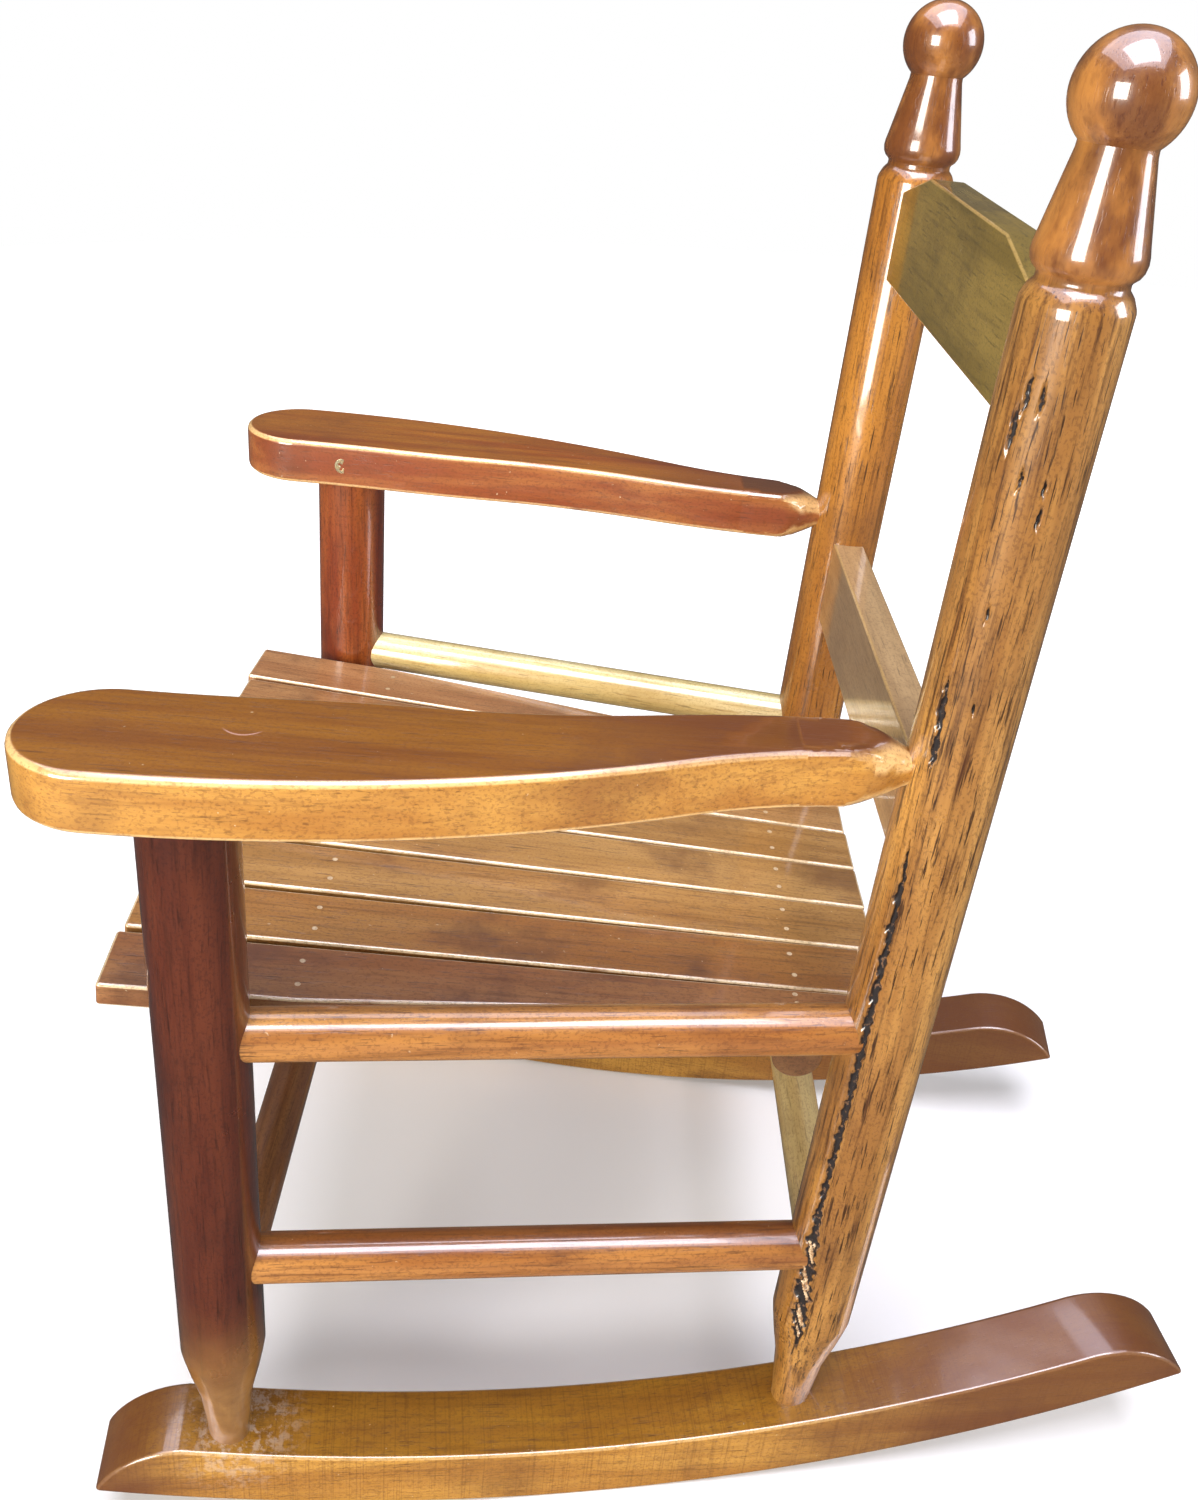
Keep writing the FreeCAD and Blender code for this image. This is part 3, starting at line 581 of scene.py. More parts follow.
# level, height at the leg, height at the post, seed
side_levels = (("upper", 262.0, 258.4, 11.0), ("lower", 146.7, 139.1, 13.0))
FRONT_CROSS_HEIGHT, REAR_CROSS_HEIGHT = 112.0, 125.0
for side, sign in SIDES.items():
    for level, front_z, rear_z, seed in side_levels:
        stretcher(f"dowel_{level}_{side}", f"{level}_side_stretcher_{side}",
                  (sign * LEG_X, 0, front_z), (sign * POST_X, post_y(rear_z), rear_z),
                  dict(seed=seed + sign * 0.4, streaks=0.6, mottle=0.55, fleck=0.6, dust=0.6,
                       top=stretcher_top_light[level], **side_stains[level, side]))
stretcher("dowel_cross_front", "lower_cross_stretcher_front",
          (-LEG_X, 0, FRONT_CROSS_HEIGHT), (LEG_X, 0, FRONT_CROSS_HEIGHT),
          dict(seed=15.0, streaks=0.6, **umber))
rear_y = post_y(REAR_CROSS_HEIGHT)
stretcher("dowel_cross_rear", "lower_cross_stretcher_rear",
          (-POST_X, rear_y, REAR_CROSS_HEIGHT), (POST_X, rear_y, REAR_CROSS_HEIGHT),
          dict(seed=16.0, streaks=0.4, mottle=0.4, **olive))

# ------------------------------ rockers
# Two bent planks, 34 mm wide, toed in to the rear; their noses are rounded over and the top edges eased.
ROCKER_FRONT_X, ROCKER_REAR_X = 158.5, 127.5
TOE_IN = math.atan2(ROCKER_FRONT_X - ROCKER_REAR_X, POST_Y)
ARC, ARC_MIDDLE, ROCKER_DEPTH, ROCKER_THICK = 750.0, 121.0, 31.0, 34.0
SIDEWAYS = Matrix(((0, 0, 1, 0), (1, 0, 0, 0), (0, 1, 0, 0), (0, 0, 0, 1)))
SHARP_EDGE = math.radians(32)


def arc_between(start, end, radius, side, steps):
    """Points after start up to end on the short arc; side 1 bulges to the right of the way."""
    start, end = Vector(start), Vector(end)
    chord = end - start
    half = chord.length / 2
    right = Vector((chord.y, -chord.x)).normalized()
    centre = (start + end) / 2 - right * side * math.sqrt(radius * radius - half * half)
    first = math.atan2(start.y - centre.y, start.x - centre.x)
    last = math.atan2(end.y - centre.y, end.x - centre.x)
    sweep = (last - first + math.pi) % (2 * math.pi) - math.pi
    return [
        (centre.x + radius * math.cos(first + sweep * step / steps),
         centre.y + radius * math.sin(first + sweep * step / steps))
        for step in range(1, steps + 1)
    ]


def board(name, outline, low, high, place, ease, steps=3):
    """A flat board: outline in local XY (millimetres), thickness along local Z, its edges eased."""
    mesh = bpy.data.meshes.new(name)
    builder = bmesh.new()
    bottom = [builder.verts.new((x * MM, y * MM, low * MM)) for x, y in outline]
    top = [builder.verts.new((x * MM, y * MM, high * MM)) for x, y in outline]
    builder.faces.new(bottom[::-1])
    builder.faces.new(top)
    for number in range(len(outline)):
        after = (number + 1) % len(outline)
        builder.faces.new([bottom[number], bottom[after], top[after], top[number]])
    bmesh.ops.recalc_face_normals(builder, faces=builder.faces)
    builder.to_mesh(mesh)
    builder.free()
    return eased(name, mesh, place, ease, steps)


def eased(name, mesh, place, ease, steps=3):
    """Rounds a mesh's sharp edges, shades it smooth and puts it in its place."""
    rough = bpy.data.objects.new(f"{name}_rough", mesh)
    scene.collection.objects.link(rough)
    bevel = rough.modifiers.new("ease", "BEVEL")
    bevel.width = ease * MM
    bevel.segments = steps
    bevel.limit_method = "ANGLE"
    bevel.angle_limit = SHARP_EDGE
    for face in mesh.polygons:
        face.use_smooth = True
    rough.modifiers.new("weight", "WEIGHTED_NORMAL").weight = 100
    graph = bpy.context.evaluated_depsgraph_get()
    done = bpy.data.meshes.new_from_object(rough.evaluated_get(graph))
    done.name = name
    bpy.data.objects.remove(rough)
    done.transform(place)
    return done


def rocker_height(along_arc, radius):
    offset = along_arc - ARC_MIDDLE
    return ARC - math.sqrt(radius * radius - offset * offset)


GLUE_SPOT = (0.004, 0.040, 0.0)


def rocker_wear(tree, own, moved, colour, rough, height):
    """Redder, darker noses and a whitish smear of glue and dust round the front leg's foot."""
    along_board = apart(tree, own)["X"]
    uneven = times(tree, noise(tree, moved, 30.0), 0.05)
    rear = between(tree, plus(tree, along_board, uneven), 0.23, 0.37)
    front = between(tree, minus(tree, uneven, along_board), 0.035, 0.075)
    colour = paint(tree, colour, math_node(tree, "MAXIMUM", rear, front), 0.82, (0.115, 0.034, 0.012))
    away = new_node(tree, "ShaderNodeVectorMath", operation="DISTANCE")
    link(tree, own, away.inputs[0])
    away.inputs[1].default_value = GLUE_SPOT
    smear = minus(tree, 1.0, between(tree, away.outputs["Value"], 0.008, 0.036))
    specks = between(tree, noise(tree, moved, 240.0, 4.0, 0.7), 0.46, 0.62)
    dusty = times(tree, times(tree, smear, specks), 0.45)
    colour = blend(tree, dusty, colour, (0.60, 0.50, 0.40))
    return colour, plus(tree, rough, times(tree, dusty, 0.4)), height


rocker_corners = [(-56.0, ARC), (428.0, ARC), (381.0, ARC - ROCKER_DEPTH), (-19.0, ARC - ROCKER_DEPTH)]
rocker_corners = [(y, rocker_height(y, radius)) for y, radius in rocker_corners]
rocker_arcs = [(ARC, 1, 60), (42.0, 1, 12), (ARC - ROCKER_DEPTH, -1, 48), (42.0, 1, 12)]
rocker_outline = []
rocker_sides = zip(rocker_corners, rocker_corners[1:] + rocker_corners[:1], rocker_arcs)
for start, end, (radius, bulge, steps) in rocker_sides:
    rocker_outline += arc_between(start, end, radius, bulge, steps)
for side, sign in SIDES.items():
    place = STANCE @ at(sign * ROCKER_FRONT_X, 0, 0) @ Matrix.Rotation(sign * TOE_IN, 4, "Z") @ SIDEWAYS
    # painted shade: the top tint darkens the rockers' upward faces against their lit sides
    stain = wood(f"rocker_stain_{side}", place, seed=20.0 + sign, streaks=0.45,
                 dark=(0.12, 0.040, 0.008), middle=(0.38, 0.165, 0.022), light=(0.54, 0.27, 0.042),
                 edge=(0.62, 0.40, 0.16), edge_wear_and_highlight=0.7, cross_lines=0.3, dust=0.5,
                 top=(0.66, 0.62, 0.28), extra=rocker_wear)
    mesh = board(f"bent_rocker_{side}", rocker_outline, -ROCKER_THICK / 2, ROCKER_THICK / 2, place, 1.8)
    add_piece(f"bent_rocker_{side}", mesh, f"rocker_{side}", stain)

# ------------------------------ arms
# Paddle arms sawn from 22 mm board, wide and round in front, waisted, whittled to a point at the post.
ARM_HALF = 11.0
FLAT_ALONG_Y = Matrix.Rotation(math.radians(90), 4, "Z")
ARM_START, ARM_ROUND = 52.8, 28.5
ARM_INNER, ARM_FRONT_INNER, INNER_MIDDLE = 4.0, 8.0, 75.0
OUTER_WAIST_SHARE, INNER_WAIST_SHARE = 0.704, 0.5
ARM_REAR_HALF, OUTER_WAIST_END, INNER_WAIST_END, ARM_TIP = 12.5, 240.0, 230.0, 252.0


def waist(start, end, share):
    """Two tangent arcs that carry an edge sideways, both ends along the arm."""
    across = start[1] - end[1]
    run = start[0] - end[0]
    both = abs(across) / 2 + run * run / (2 * abs(across))
    turn = (start[0] - run * share, start[1] - across * share)
    return turn, both * share, both * (1 - share)


def arm_outline(sign):
    """The arm's plan as (along, across) pairs, counter-clockwise, across growing outwards."""
    outer = ARM_FRONT_INNER + 2 * ARM_ROUND
    shoulder = ARM_ROUND - ARM_START
    outer_end, inner_end = (OUTER_WAIST_END, ARM_REAR_HALF), (INNER_WAIST_END, -ARM_REAR_HALF)
    points = [(shoulder, outer)]
    turn, first, second = waist(points[-1], outer_end, OUTER_WAIST_SHARE)
    points += arc_between(points[-1], turn, first, -1, 20)
    points += arc_between(turn, outer_end, second, 1, 10)
    points += [(ARM_TIP, ARM_REAR_HALF), (ARM_TIP, -ARM_REAR_HALF), inner_end]
    for goal in ((INNER_MIDDLE, ARM_INNER), (shoulder, ARM_FRONT_INNER)):
        turn, first, second = waist(points[-1], goal, INNER_WAIST_SHARE)
        points += arc_between(points[-1], turn, first, -1, 10)
        points += arc_between(turn, goal, second, 1, 10)
    nose = (-ARM_START, ARM_FRONT_INNER + ARM_ROUND)
    points += arc_between(points[-1], nose, ARM_ROUND, -1, 14)
    points += arc_between(nose, (shoulder, outer), ARM_ROUND, -1, 14)[:-1]
    return [(x, -sign * y) for x, y in points]


POINT_START, POINT_END, TIP = 200.0, 237.0, 6.6
POINT_RADIUS, POINT_BULGE = 22.5, 0.86


def point_radius(spot):
    """The whittled point's radius: a slightly bulging cone that ends as the tenon."""
    share = min(max((spot - POINT_START) / (POINT_END - POINT_START), 0.0), 1.0)
    return TIP + (POINT_RADIUS - TIP) * (1.0 - share) ** POINT_BULGE


def whittle(mesh, place):
    """Cuts the rear end of an arm to its point, with enough loops for a round surface."""
    mesh.transform(place.inverted())
    builder = bmesh.new()
    builder.from_mesh(mesh)
    cuts = [((spot, 0, 0), (1, 0, 0)) for spot in range(198, 240, 2)]
    cuts += [((0, 0, level), (0, 0, 1)) for level in (-8, -5, -2, 2, 5, 8)]
    cuts += [((0, offset, 0), (0, 1, 0)) for offset in range(-12, 13, 3)]
    behind = (POINT_START - 4.0) * MM
    for point, normal in cuts:
        parts = [part for part in builder.verts[:] + builder.edges[:] + builder.faces[:]
                 if min(v.co.x for v in (part.verts if hasattr(part, "verts") else [part])) > behind
                 or normal[0] == 1]
        bmesh.ops.bisect_plane(builder, geom=parts, dist=1e-6, plane_co=Vector(point) * MM, plane_no=normal)
    for vertex in builder.verts:
        reach = math.hypot(vertex.co.y, vertex.co.z) / MM
        limit = point_radius(vertex.co.x / MM)
        if vertex.co.x / MM > POINT_START and reach > limit:
            vertex.co.y *= limit / reach
            vertex.co.z *= limit / reach
    for edge in builder.edges:
        crease = len(edge.link_faces) == 2 and edge.calc_face_angle() > math.radians(24)
        edge.smooth = not (crease and min(v.co.x for v in edge.verts) > POINT_START * MM)
    builder.to_mesh(mesh)
    builder.free()
    mesh.transform(place)


SCRATCH_ALONG, SCRATCH_ACROSS, SCRATCH_BEND = 0.018, 0.034, 80.0
arm_tones = {
    "left": ((0.38, 0.155, 0.021), (0.53, 0.26, 0.043)),
    "right": ((0.25, 0.055, 0.014), (0.42, 0.15, 0.035)),
}
# painted light and shade: tints for the arms' upward faces, set apart from their lit sides
arm_top_light = {"left": (0.50, 0.38, 0.10), "right": (1.0, 1.0, 0.35)}


def arm_scratch(tree, own, moved, colour, rough, height):
    """A darker, redder top face towards the post and a short curved scratch in front."""
    spot = apart(tree, own)
    level = plus(tree, spot["X"], times(tree, noise(tree, moved, 14.0), 0.12))
    # the arm's top face is made darker and redder towards the post
    darker_towards_post = times(tree, between(tree, level, 0.15, 0.27), between(tree, spot["Z"], 0.008, 0.0109))
    colour = paint(tree, colour, darker_towards_post, 0.7, (0.11, 0.024, 0.006))
    run = minus(tree, spot["X"], SCRATCH_ALONG)
    bent = times(tree, times(tree, run, run), SCRATCH_BEND)
    across = plus(tree, spot["Y"], SCRATCH_ACROSS)
    offset = math_node(tree, "ABSOLUTE", minus(tree, across, bent))
    thin = minus(tree, 1.0, between(tree, offset, 0.0002, 0.0006))
    short = minus(tree, 1.0, between(tree, math_node(tree, "ABSOLUTE", run), 0.004, 0.007))
    scratch = times(tree, thin, times(tree, short, between(tree, spot["Z"], 0.0108, 0.0109)))
    return paint(tree, colour, scratch, 0.6, (0.62, 0.36, 0.30)), rough, height


for side, sign in SIDES.items():
    place = STANCE @ at(sign * POST_X, 0, ARM_UNDERSIDE + ARM_HALF) @ FLAT_ALONG_Y
    stain = wood(f"arm_stain_{side}", place, (0.13, 0.035, 0.007), *arm_tones[side], seed=26.0 + sign,
                 streaks=0.35, mottle=0.45, fleck=0.4, edge=(0.74, 0.47, 0.19), edge_wear_and_highlight=0.9, dust=0.9,
                 top=arm_top_light[side], extra=arm_scratch)
    mesh = board(f"paddle_arm_{side}", arm_outline(sign), -ARM_HALF, ARM_HALF, place, 2.8)
    whittle(mesh, place)
    add_piece(f"paddle_arm_{side}", mesh, f"arm_{side}", stain)

# ------------------------------ seat slats
# Eight fanned slats, planed to taper, their upper edges rounded; the outer two are trimmed to pass the posts.
SEAT_LEVEL, SEAT_TILT = at(0, 0, 262.6), Matrix.Rotation(-math.radians(3.43), 4, "X")
SEAT_PLACE = STANCE @ SEAT_LEVEL @ SEAT_TILT
SLATS, HALF_WIDTH, FAN = 8, 141.6, 2080.0
SLAT_FRONT, SLAT_REAR, SLAT_THICK = -45.0, 261.4, 10.0
FRONT_WIDTH, REAR_WIDTH, TRIM_START, TRIM_SLOPE = 32.9, 30.4, 25.0, 0.1525


def slat_place(number):
    """A slat's distance from the middle of the seat, and its place in the seat, local Y to the rear."""
    middle = HALF_WIDTH * (1 - (2 * number - 1) / SLATS)
    return middle, at(middle, 0, 0) @ Matrix.Rotation(math.atan2(middle, FAN), 4, "Z")


def geometry_tree(name, inputs):
    """An empty geometry tree with a geometry input and output, the named sizes and a finish."""
    tree = bpy.data.node_groups.new(name, "GeometryNodeTree")
    for way in ("INPUT", "OUTPUT"):
        tree.interface.new_socket("Geometry", in_out=way, socket_type="NodeSocketGeometry")
    keys = {}
    for label, value in inputs.items():
        item = tree.interface.new_socket(label, in_out="INPUT", socket_type="NodeSocketFloat")
        item.default_value = value
        keys[label] = item.identifier
    finish = tree.interface.new_socket("Finish", in_out="INPUT", socket_type="NodeSocketMaterial")
    keys["Finish"] = finish.identifier
    return tree, keys, tree.nodes.new("NodeGroupInput"), tree.nodes.new("NodeGroupOutput")


def finish_tree(tree, shape, group_in, group_out):
    """Ends a geometry tree: real meshes that carry the finish."""
    real = tree.nodes.new("GeometryNodeRealizeInstances")
    link(tree, shape, real.inputs[0])
    painted = tree.nodes.new("GeometryNodeSetMaterial")
    link(tree, real.outputs[0], painted.inputs["Geometry"])
    link(tree, group_in.outputs["Finish"], painted.inputs["Material"])
    link(tree, painted.outputs[0], group_out.inputs[0])


maker, slat_keys, group_in, group_out = geometry_tree("slat_maker", {
    "Length": 0.3, "Front Width": 0.033, "Rear Width": 0.030, "Thickness": 0.01,
    "Trim Start": 0.07, "Trim Slope": 0.0, "Trim Side": 1.0,
})
size = group_in.outputs
grid = new_node(maker, "GeometryNodeMeshGrid", size_y=1.0, vertices_x=31, vertices_y=2)
link(maker, size["Length"], grid.inputs["Size X"])

# the width runs from the front's to the rear's; past the trim start one edge is cut off at a slope
where = apart(maker, new_node(maker, "GeometryNodeInputPosition").outputs[0])
from_front = plus(maker, where["X"], times(maker, size["Length"], 0.5))
share = math_node(maker, "DIVIDE", from_front, size["Length"])
taper = minus(maker, size["Rear Width"], size["Front Width"])
width = plus(maker, size["Front Width"], times(maker, taper, share))
past = minus(maker, from_front, size["Trim Start"])
cut = times(maker, math_node(maker, "MAXIMUM", past, 0.0), size["Trim Slope"])
limit = minus(maker, times(maker, size["Front Width"], 0.5), cut)
turned_over = times(maker, times(maker, where["Y"], width), size["Trim Side"])
trimmed = times(maker, math_node(maker, "MINIMUM", turned_over, limit), size["Trim Side"])
spot = new_node(maker, "ShaderNodeCombineXYZ")
link(maker, from_front, spot.inputs["X"])
link(maker, trimmed, spot.inputs["Y"])
shaped = new_node(maker, "GeometryNodeSetPosition")
link(maker, grid.outputs["Mesh"], shaped.inputs["Geometry"])
link(maker, spot.outputs[0], shaped.inputs["Position"])

# the thickness goes downwards from the upper face
thicker = new_node(maker, "GeometryNodeExtrudeMesh", individual=False)
link(maker, shaped.outputs[0], thicker.inputs["Mesh"])
down = new_node(maker, "ShaderNodeCombineXYZ")
down.inputs["Z"].default_value = 1.0
link(maker, down.outputs[0], thicker.inputs["Offset"])
link(maker, times(maker, size["Thickness"], -1.0), thicker.inputs["Offset Scale"])
both = new_node(maker, "GeometryNodeJoinGeometry")
link(maker, thicker.outputs["Mesh"], both.inputs[0])
link(maker, shaped.outputs[0], both.inputs[0])
closed = new_node(maker, "GeometryNodeMergeByDistance")
link(maker, both.outputs[0], closed.inputs["Geometry"])
finish_tree(maker, closed.outputs[0], group_in, group_out)


def grown(name, tree, keys, values, start=None):
    """Runs a geometry tree on a start mesh with the given input values and returns the plain mesh."""
    holder = bpy.data.objects.new(f"{name}_start", start or bpy.data.meshes.new(f"{name}_start"))
    scene.collection.objects.link(holder)
    modifier = holder.modifiers.new("grow", "NODES")
    modifier.node_group = tree
    for label, value in values.items():
        modifier[keys[label]] = value
    mesh = bpy.data.meshes.new_from_object(holder.evaluated_get(bpy.context.evaluated_depsgraph_get()))
    bpy.data.objects.remove(holder)
    mesh.name = name
    return mesh


slat_tones = [
    ((0.10, 0.030, 0.010), (0.27, 0.100, 0.029), (0.38, 0.17, 0.055)),
    ((0.10, 0.034, 0.009), (0.29, 0.115, 0.024), (0.40, 0.19, 0.045)),
    ((0.12, 0.045, 0.011), (0.31, 0.150, 0.036), (0.43, 0.23, 0.068)),
    ((0.15, 0.060, 0.015), (0.34, 0.175, 0.045), (0.47, 0.26, 0.080)),
    ((0.15, 0.060, 0.015), (0.34, 0.170, 0.043), (0.46, 0.25, 0.075)),
    ((0.14, 0.052, 0.014), (0.35, 0.170, 0.050), (0.47, 0.25, 0.085)),
    ((0.14, 0.052, 0.015), (0.36, 0.170, 0.060), (0.48, 0.25, 0.095)),
    ((0.13, 0.048, 0.015), (0.34, 0.150, 0.055), (0.46, 0.23, 0.090)),
]
for number in range(1, SLATS + 1):
    middle, in_seat = slat_place(number)
    place = SEAT_PLACE @ in_seat @ FLAT_ALONG_Y
    stain = wood(f"slat_stain_{number}", place, *slat_tones[number - 1],
                 seed=30.0 + number, mottle=0.75, fleck=0.6, edge=(0.80, 0.62, 0.36), edge_wear_and_highlight=0.9, dust=0.7)
    sizes_here = {
        "Length": (SLAT_REAR - SLAT_FRONT) * MM, "Front Width": FRONT_WIDTH * MM,
        "Rear Width": REAR_WIDTH * MM, "Thickness": SLAT_THICK * MM,
        "Trim Start": (TRIM_START - SLAT_FRONT) * MM,
        "Trim Slope": TRIM_SLOPE - abs(middle) / FAN if number in (1, SLATS) else 0.0,
        "Trim Side": -1.0 if number == 1 else 1.0, "Finish": stain,
    }
    plain = grown(f"plain_slat_{number}", maker, slat_keys, sizes_here)
    plain.transform(at(SLAT_FRONT, 0, 0))
    tidy = bmesh.new()
    tidy.from_mesh(plain)
    bmesh.ops.recalc_face_normals(tidy, faces=tidy.faces)
    tidy.to_mesh(plain)
    tidy.free()
    mesh = eased(f"planed_slat_{number}", plain, place, 1.5)
    add_piece(f"planed_slat_{number}", mesh, f"seat_slat_{number}", stain)

# ------------------------------ seat battens
# Two D-shaped battens of darker wood under the slats, flat side up; the slats are nailed down to them.
# The front one is screwed to the legs, the rear one lies close to the posts.
BATTEN_HALF, BATTEN_SHOULDER = 10.0, -3.0
batten_outline = [(-BATTEN_HALF, 0.0), (-BATTEN_HALF, BATTEN_SHOULDER)]
batten_outline += arc_between(batten_outline[-1], (BATTEN_HALF, BATTEN_SHOULDER), BATTEN_HALF + 0.001, 1, 16)
batten_outline += [(BATTEN_HALF, 0.0)]
# name, distance back along the seat, half length
battens = (("front", 22.5, 147.0), ("rear", 222.8, 122.0))
for name, back, half in battens:
    place = SEAT_PLACE @ at(0, back, -SLAT_THICK) @ SIDEWAYS
    grain = place @ Matrix.Rotation(-math.pi / 2, 4, "Y")
    stain = wood(f"batten_stain_{name}", grain, (0.05, 0.02, 0.008), (0.14, 0.06, 0.022), (0.22, 0.11, 0.04),
                 seed=41.0)
    mesh = board(f"rounded_batten_{name}", batten_outline, -half, half, place, 0.8, 2)
    add_piece(f"rounded_batten_{name}", mesh, f"seat_batten_{name}", stain)

# ------------------------------ back rails
# Flat rails let into the posts: the crest has clipped shoulders, the lower rail is plain.
RAIL_REACH, RAIL_HALF = 121.5, 7.5
UPRIGHT = Matrix(((1, 0, 0, 0), (0, 0, -1, 0), (0, 1, 0, 0), (0, 0, 0, 1)))
RAIL_PLACE = STANCE @ at(0, POST_Y, 0) @ POST_LEAN @ UPRIGHT
rails = {
    "crest_rail": [
        (-RAIL_REACH, 490.0), (RAIL_REACH, 490.0), (RAIL_REACH, 526.0), (64.0, 539.5), (-64.0, 539.5),
        (-RAIL_REACH, 526.0),
    ],
    "lower_back_rail": [(-RAIL_REACH, 322.0), (RAIL_REACH, 322.0), (RAIL_REACH, 364.0), (-RAIL_REACH, 364.0)],
}
rail_tones = {
    "crest_rail": ((0.070, 0.044, 0.006), (0.22, 0.145, 0.018), (0.35, 0.235, 0.042)),
    "lower_back_rail": ((0.16, 0.085, 0.035), (0.38, 0.235, 0.105), (0.52, 0.34, 0.16)),
}
for number, (node, outline) in enumerate(rails.items()):
    stain = wood(f"{node}_stain", RAIL_PLACE, *rail_tones[node], seed=50.0 + number, streaks=0.4,
                 edge=(0.55, 0.36, 0.12), edge_wear_and_highlight=0.6, dust=0.5)
    mesh = board(f"{node}_board", outline, -RAIL_HALF, RAIL_HALF, RAIL_PLACE, 1.2)
    add_piece(f"{node}_board", mesh, node, stain)

# ------------------------------ brads
# Two brads through each slat end, sunk a little and stopped with pale putty that shows as a small cream dot.
FRONT_ROW, REAR_ROW, BRAD_SPREAD = 27.0, 222.8, 7.0
OUTER_REAR = (12.0, 6.5)
HEAD_RADIUS, HEAD_DEPTH = 1.15, 1.2
HEAD_LEVEL = 0.02 - HEAD_DEPTH / 2
rows, brad_keys, group_in, group_out = geometry_tree("brad_rows", {"Head Radius": 0.0015, "Head Depth": 0.0012})
head = new_node(rows, "GeometryNodeMeshCylinder", vertices=16)
link(rows, group_in.outputs["Head Radius"], head.inputs["Radius"])
link(rows, group_in.outputs["Head Depth"], head.inputs["Depth"])
spots = new_node(rows, "GeometryNodeMeshToPoints")
link(rows, group_in.outputs["Geometry"], spots.inputs["Mesh"])
heads = new_node(rows, "GeometryNodeInstanceOnPoints")
link(rows, spots.outputs[0], heads.inputs["Points"])
link(rows, head.outputs["Mesh"], heads.inputs["Instance"])
finish_tree(rows, heads.outputs[0], group_in, group_out)
nail_spots = []
for number in range(1, SLATS + 1):
    middle, in_seat = slat_place(number)
    front = rear = [-BRAD_SPREAD, BRAD_SPREAD]
    if number in (1, SLATS):
        rear = [-offset * math.copysign(1.0, middle) for offset in OUTER_REAR]
    for row, offsets in ((FRONT_ROW, front), (REAR_ROW, rear)):
        nail_spots += [in_seat @ (Vector((offset, row, HEAD_LEVEL)) * MM) for offset in offsets]
nail_mesh = bpy.data.meshes.new("nail_spots")
nail_mesh.from_pydata([tuple(spot) for spot in nail_spots], [], [])
putty = wood("brad_putty", SEAT_PLACE, (0.20, 0.10, 0.04), (0.50, 0.36, 0.20), (0.68, 0.52, 0.32), seed=60.0,
             streaks=0.2, fleck=0.2, roughness=0.5)
putty.node_tree.nodes["Principled BSDF"].inputs["Coat Weight"].default_value = 0.3
mesh = grown("brad_heads", rows, brad_keys,
             {"Head Radius": HEAD_RADIUS * MM, "Head Depth": HEAD_DEPTH * MM, "Finish": putty}, nail_mesh)
mesh.transform(SEAT_PLACE)
add_piece("brad_heads", mesh, "seat_brads", putty)

# ------------------------------ screws
# Pale brass cross-head screws: one in each arm's inner edge, two that hold the front batten to the legs.
ARM_SCREW_X, SEAT_SCREW_X = 134.0, 133.0
ARM_SCREW_LENGTH, SEAT_SCREW_LENGTH = 38.0, 40.0
SCREW_RADIUS, SHANK_RADIUS, HEAD_CONE = 4.2, 2.0, 2.4
CROSS_HALF, CROSS_REACH, CROSS_DEPTH = 0.55, 2.4, 1.1
BRASS, TARNISH, CROSS_GRIME = (0.76, 0.66, 0.42), (0.38, 0.28, 0.13), (0.07, 0.045, 0.02)


def screw_finish():
    """Plated brass, brushed and a little tarnished in the cross."""
    material = bpy.data.materials.new("pale_brass")
    material.use_nodes = True
    tree = material.node_tree
    shader = tree.nodes["Principled BSDF"]
    place = new_node(tree, "ShaderNodeTexCoord").outputs["Object"]
    mapping = new_node(tree, "ShaderNodeMapping")
    link(tree, place, mapping.inputs["Vector"])
    tarnish = between(tree, noise(tree, mapping.outputs[0], 900.0, 3.0), 0.42, 0.66)
    sunk = new_node(tree, "ShaderNodeAttribute", attribute_name="cross").outputs["Fac"]
    colour = blend(tree, sunk, blend(tree, tarnish, BRASS, TARNISH), CROSS_GRIME)
    link(tree, colour, shader.inputs["Base Color"])
    link(tree, plus(tree, times(tree, tarnish, 0.25), 0.25), shader.inputs["Roughness"])
    shader.inputs["Metallic"].default_value = 0.8
    return material


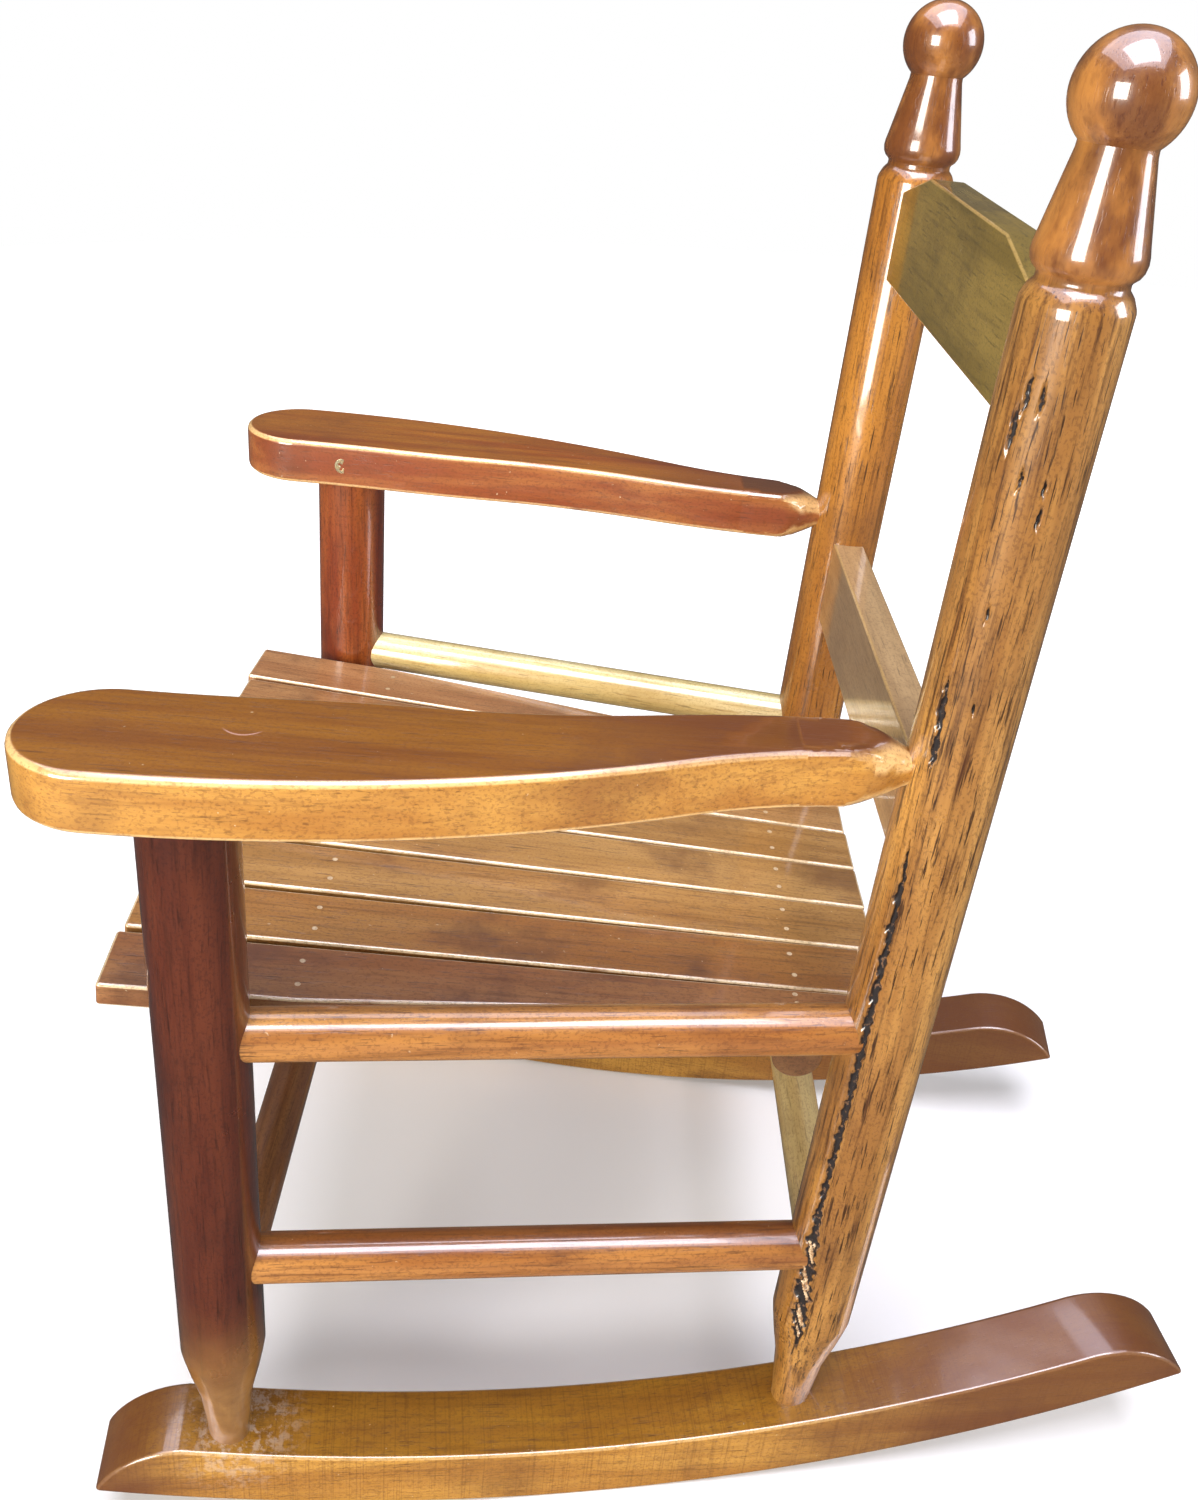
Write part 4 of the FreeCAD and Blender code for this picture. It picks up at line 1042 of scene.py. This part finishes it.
def cross_screw(name, place, length):
    """A screw along local X with its head's face at the start; the face carries a cross recess."""
    face = [(0.0, step * 0.25) for step in range(15)]
    head = [(0.05, SCREW_RADIUS - 0.3), (0.25, SCREW_RADIUS - 0.05), (0.4, SCREW_RADIUS)]
    profile = face + head + [(HEAD_CONE, SHANK_RADIUS), (length, SHANK_RADIUS), (length, 0.0)]
    mesh = turned(name, profile, Matrix.Identity(4), 64)
    sunk = []
    for vertex in mesh.vertices:
        y, z = abs(vertex.co.y) / MM, abs(vertex.co.z) / MM
        in_cross = min(y, z) < CROSS_HALF and max(y, z) < CROSS_REACH and vertex.co.x < 0.1 * MM
        sunk.append(1.0 if in_cross else 0.0)
        if in_cross:
            vertex.co.x += CROSS_DEPTH * MM * (1.0 - max(y, z) / 3.2)
    mesh.attributes.new("cross", "FLOAT", "POINT").data.foreach_set("value", sunk)
    mesh.transform(place)
    return mesh


def joined(name, meshes):
    """Several meshes as one."""
    builder = bmesh.new()
    for mesh in meshes:
        builder.from_mesh(mesh)
    whole = bpy.data.meshes.new(name)
    builder.to_mesh(whole)
    builder.free()
    return whole


def aimed(start, goal, turn):
    """A place whose local X runs from start to goal, turned about it by some degrees."""
    way = (Vector(goal) - Vector(start)).normalized().to_track_quat("X", "Z").to_matrix().to_4x4()
    return STANCE @ Matrix.Translation(Vector(start) * MM) @ way @ Matrix.Rotation(math.radians(turn), 4, "X")


brass = screw_finish()
ARM_LEVEL = ARM_UNDERSIDE + ARM_HALF
arm_screws = []
for side, sign in SIDES.items():
    place = aimed((sign * ARM_SCREW_X, 0, ARM_LEVEL), (sign * LEG_X, 0, ARM_LEVEL), 28.0)
    arm_screws.append(cross_screw(f"arm_screw_{side}", place, ARM_SCREW_LENGTH))
add_piece("arm_cross_screws", joined("arm_cross_screws", arm_screws), "arm_screws", brass)
BATTEN_BACK, BATTEN_MIDDLE = 32.5, -16.5
seat_start = SEAT_LEVEL @ SEAT_TILT @ (Vector((SEAT_SCREW_X, BATTEN_BACK, BATTEN_MIDDLE)) * MM) / MM
seat_screws = []
for side, sign in SIDES.items():
    start = (sign * seat_start.x, seat_start.y, seat_start.z)
    place = aimed(start, (sign * LEG_X, 0, seat_start.z), 10.0)
    seat_screws.append(cross_screw(f"seat_screw_{side}", place, SEAT_SCREW_LENGTH))
add_piece("seat_cross_screws", joined("seat_cross_screws", seat_screws), "seat_screws", brass)
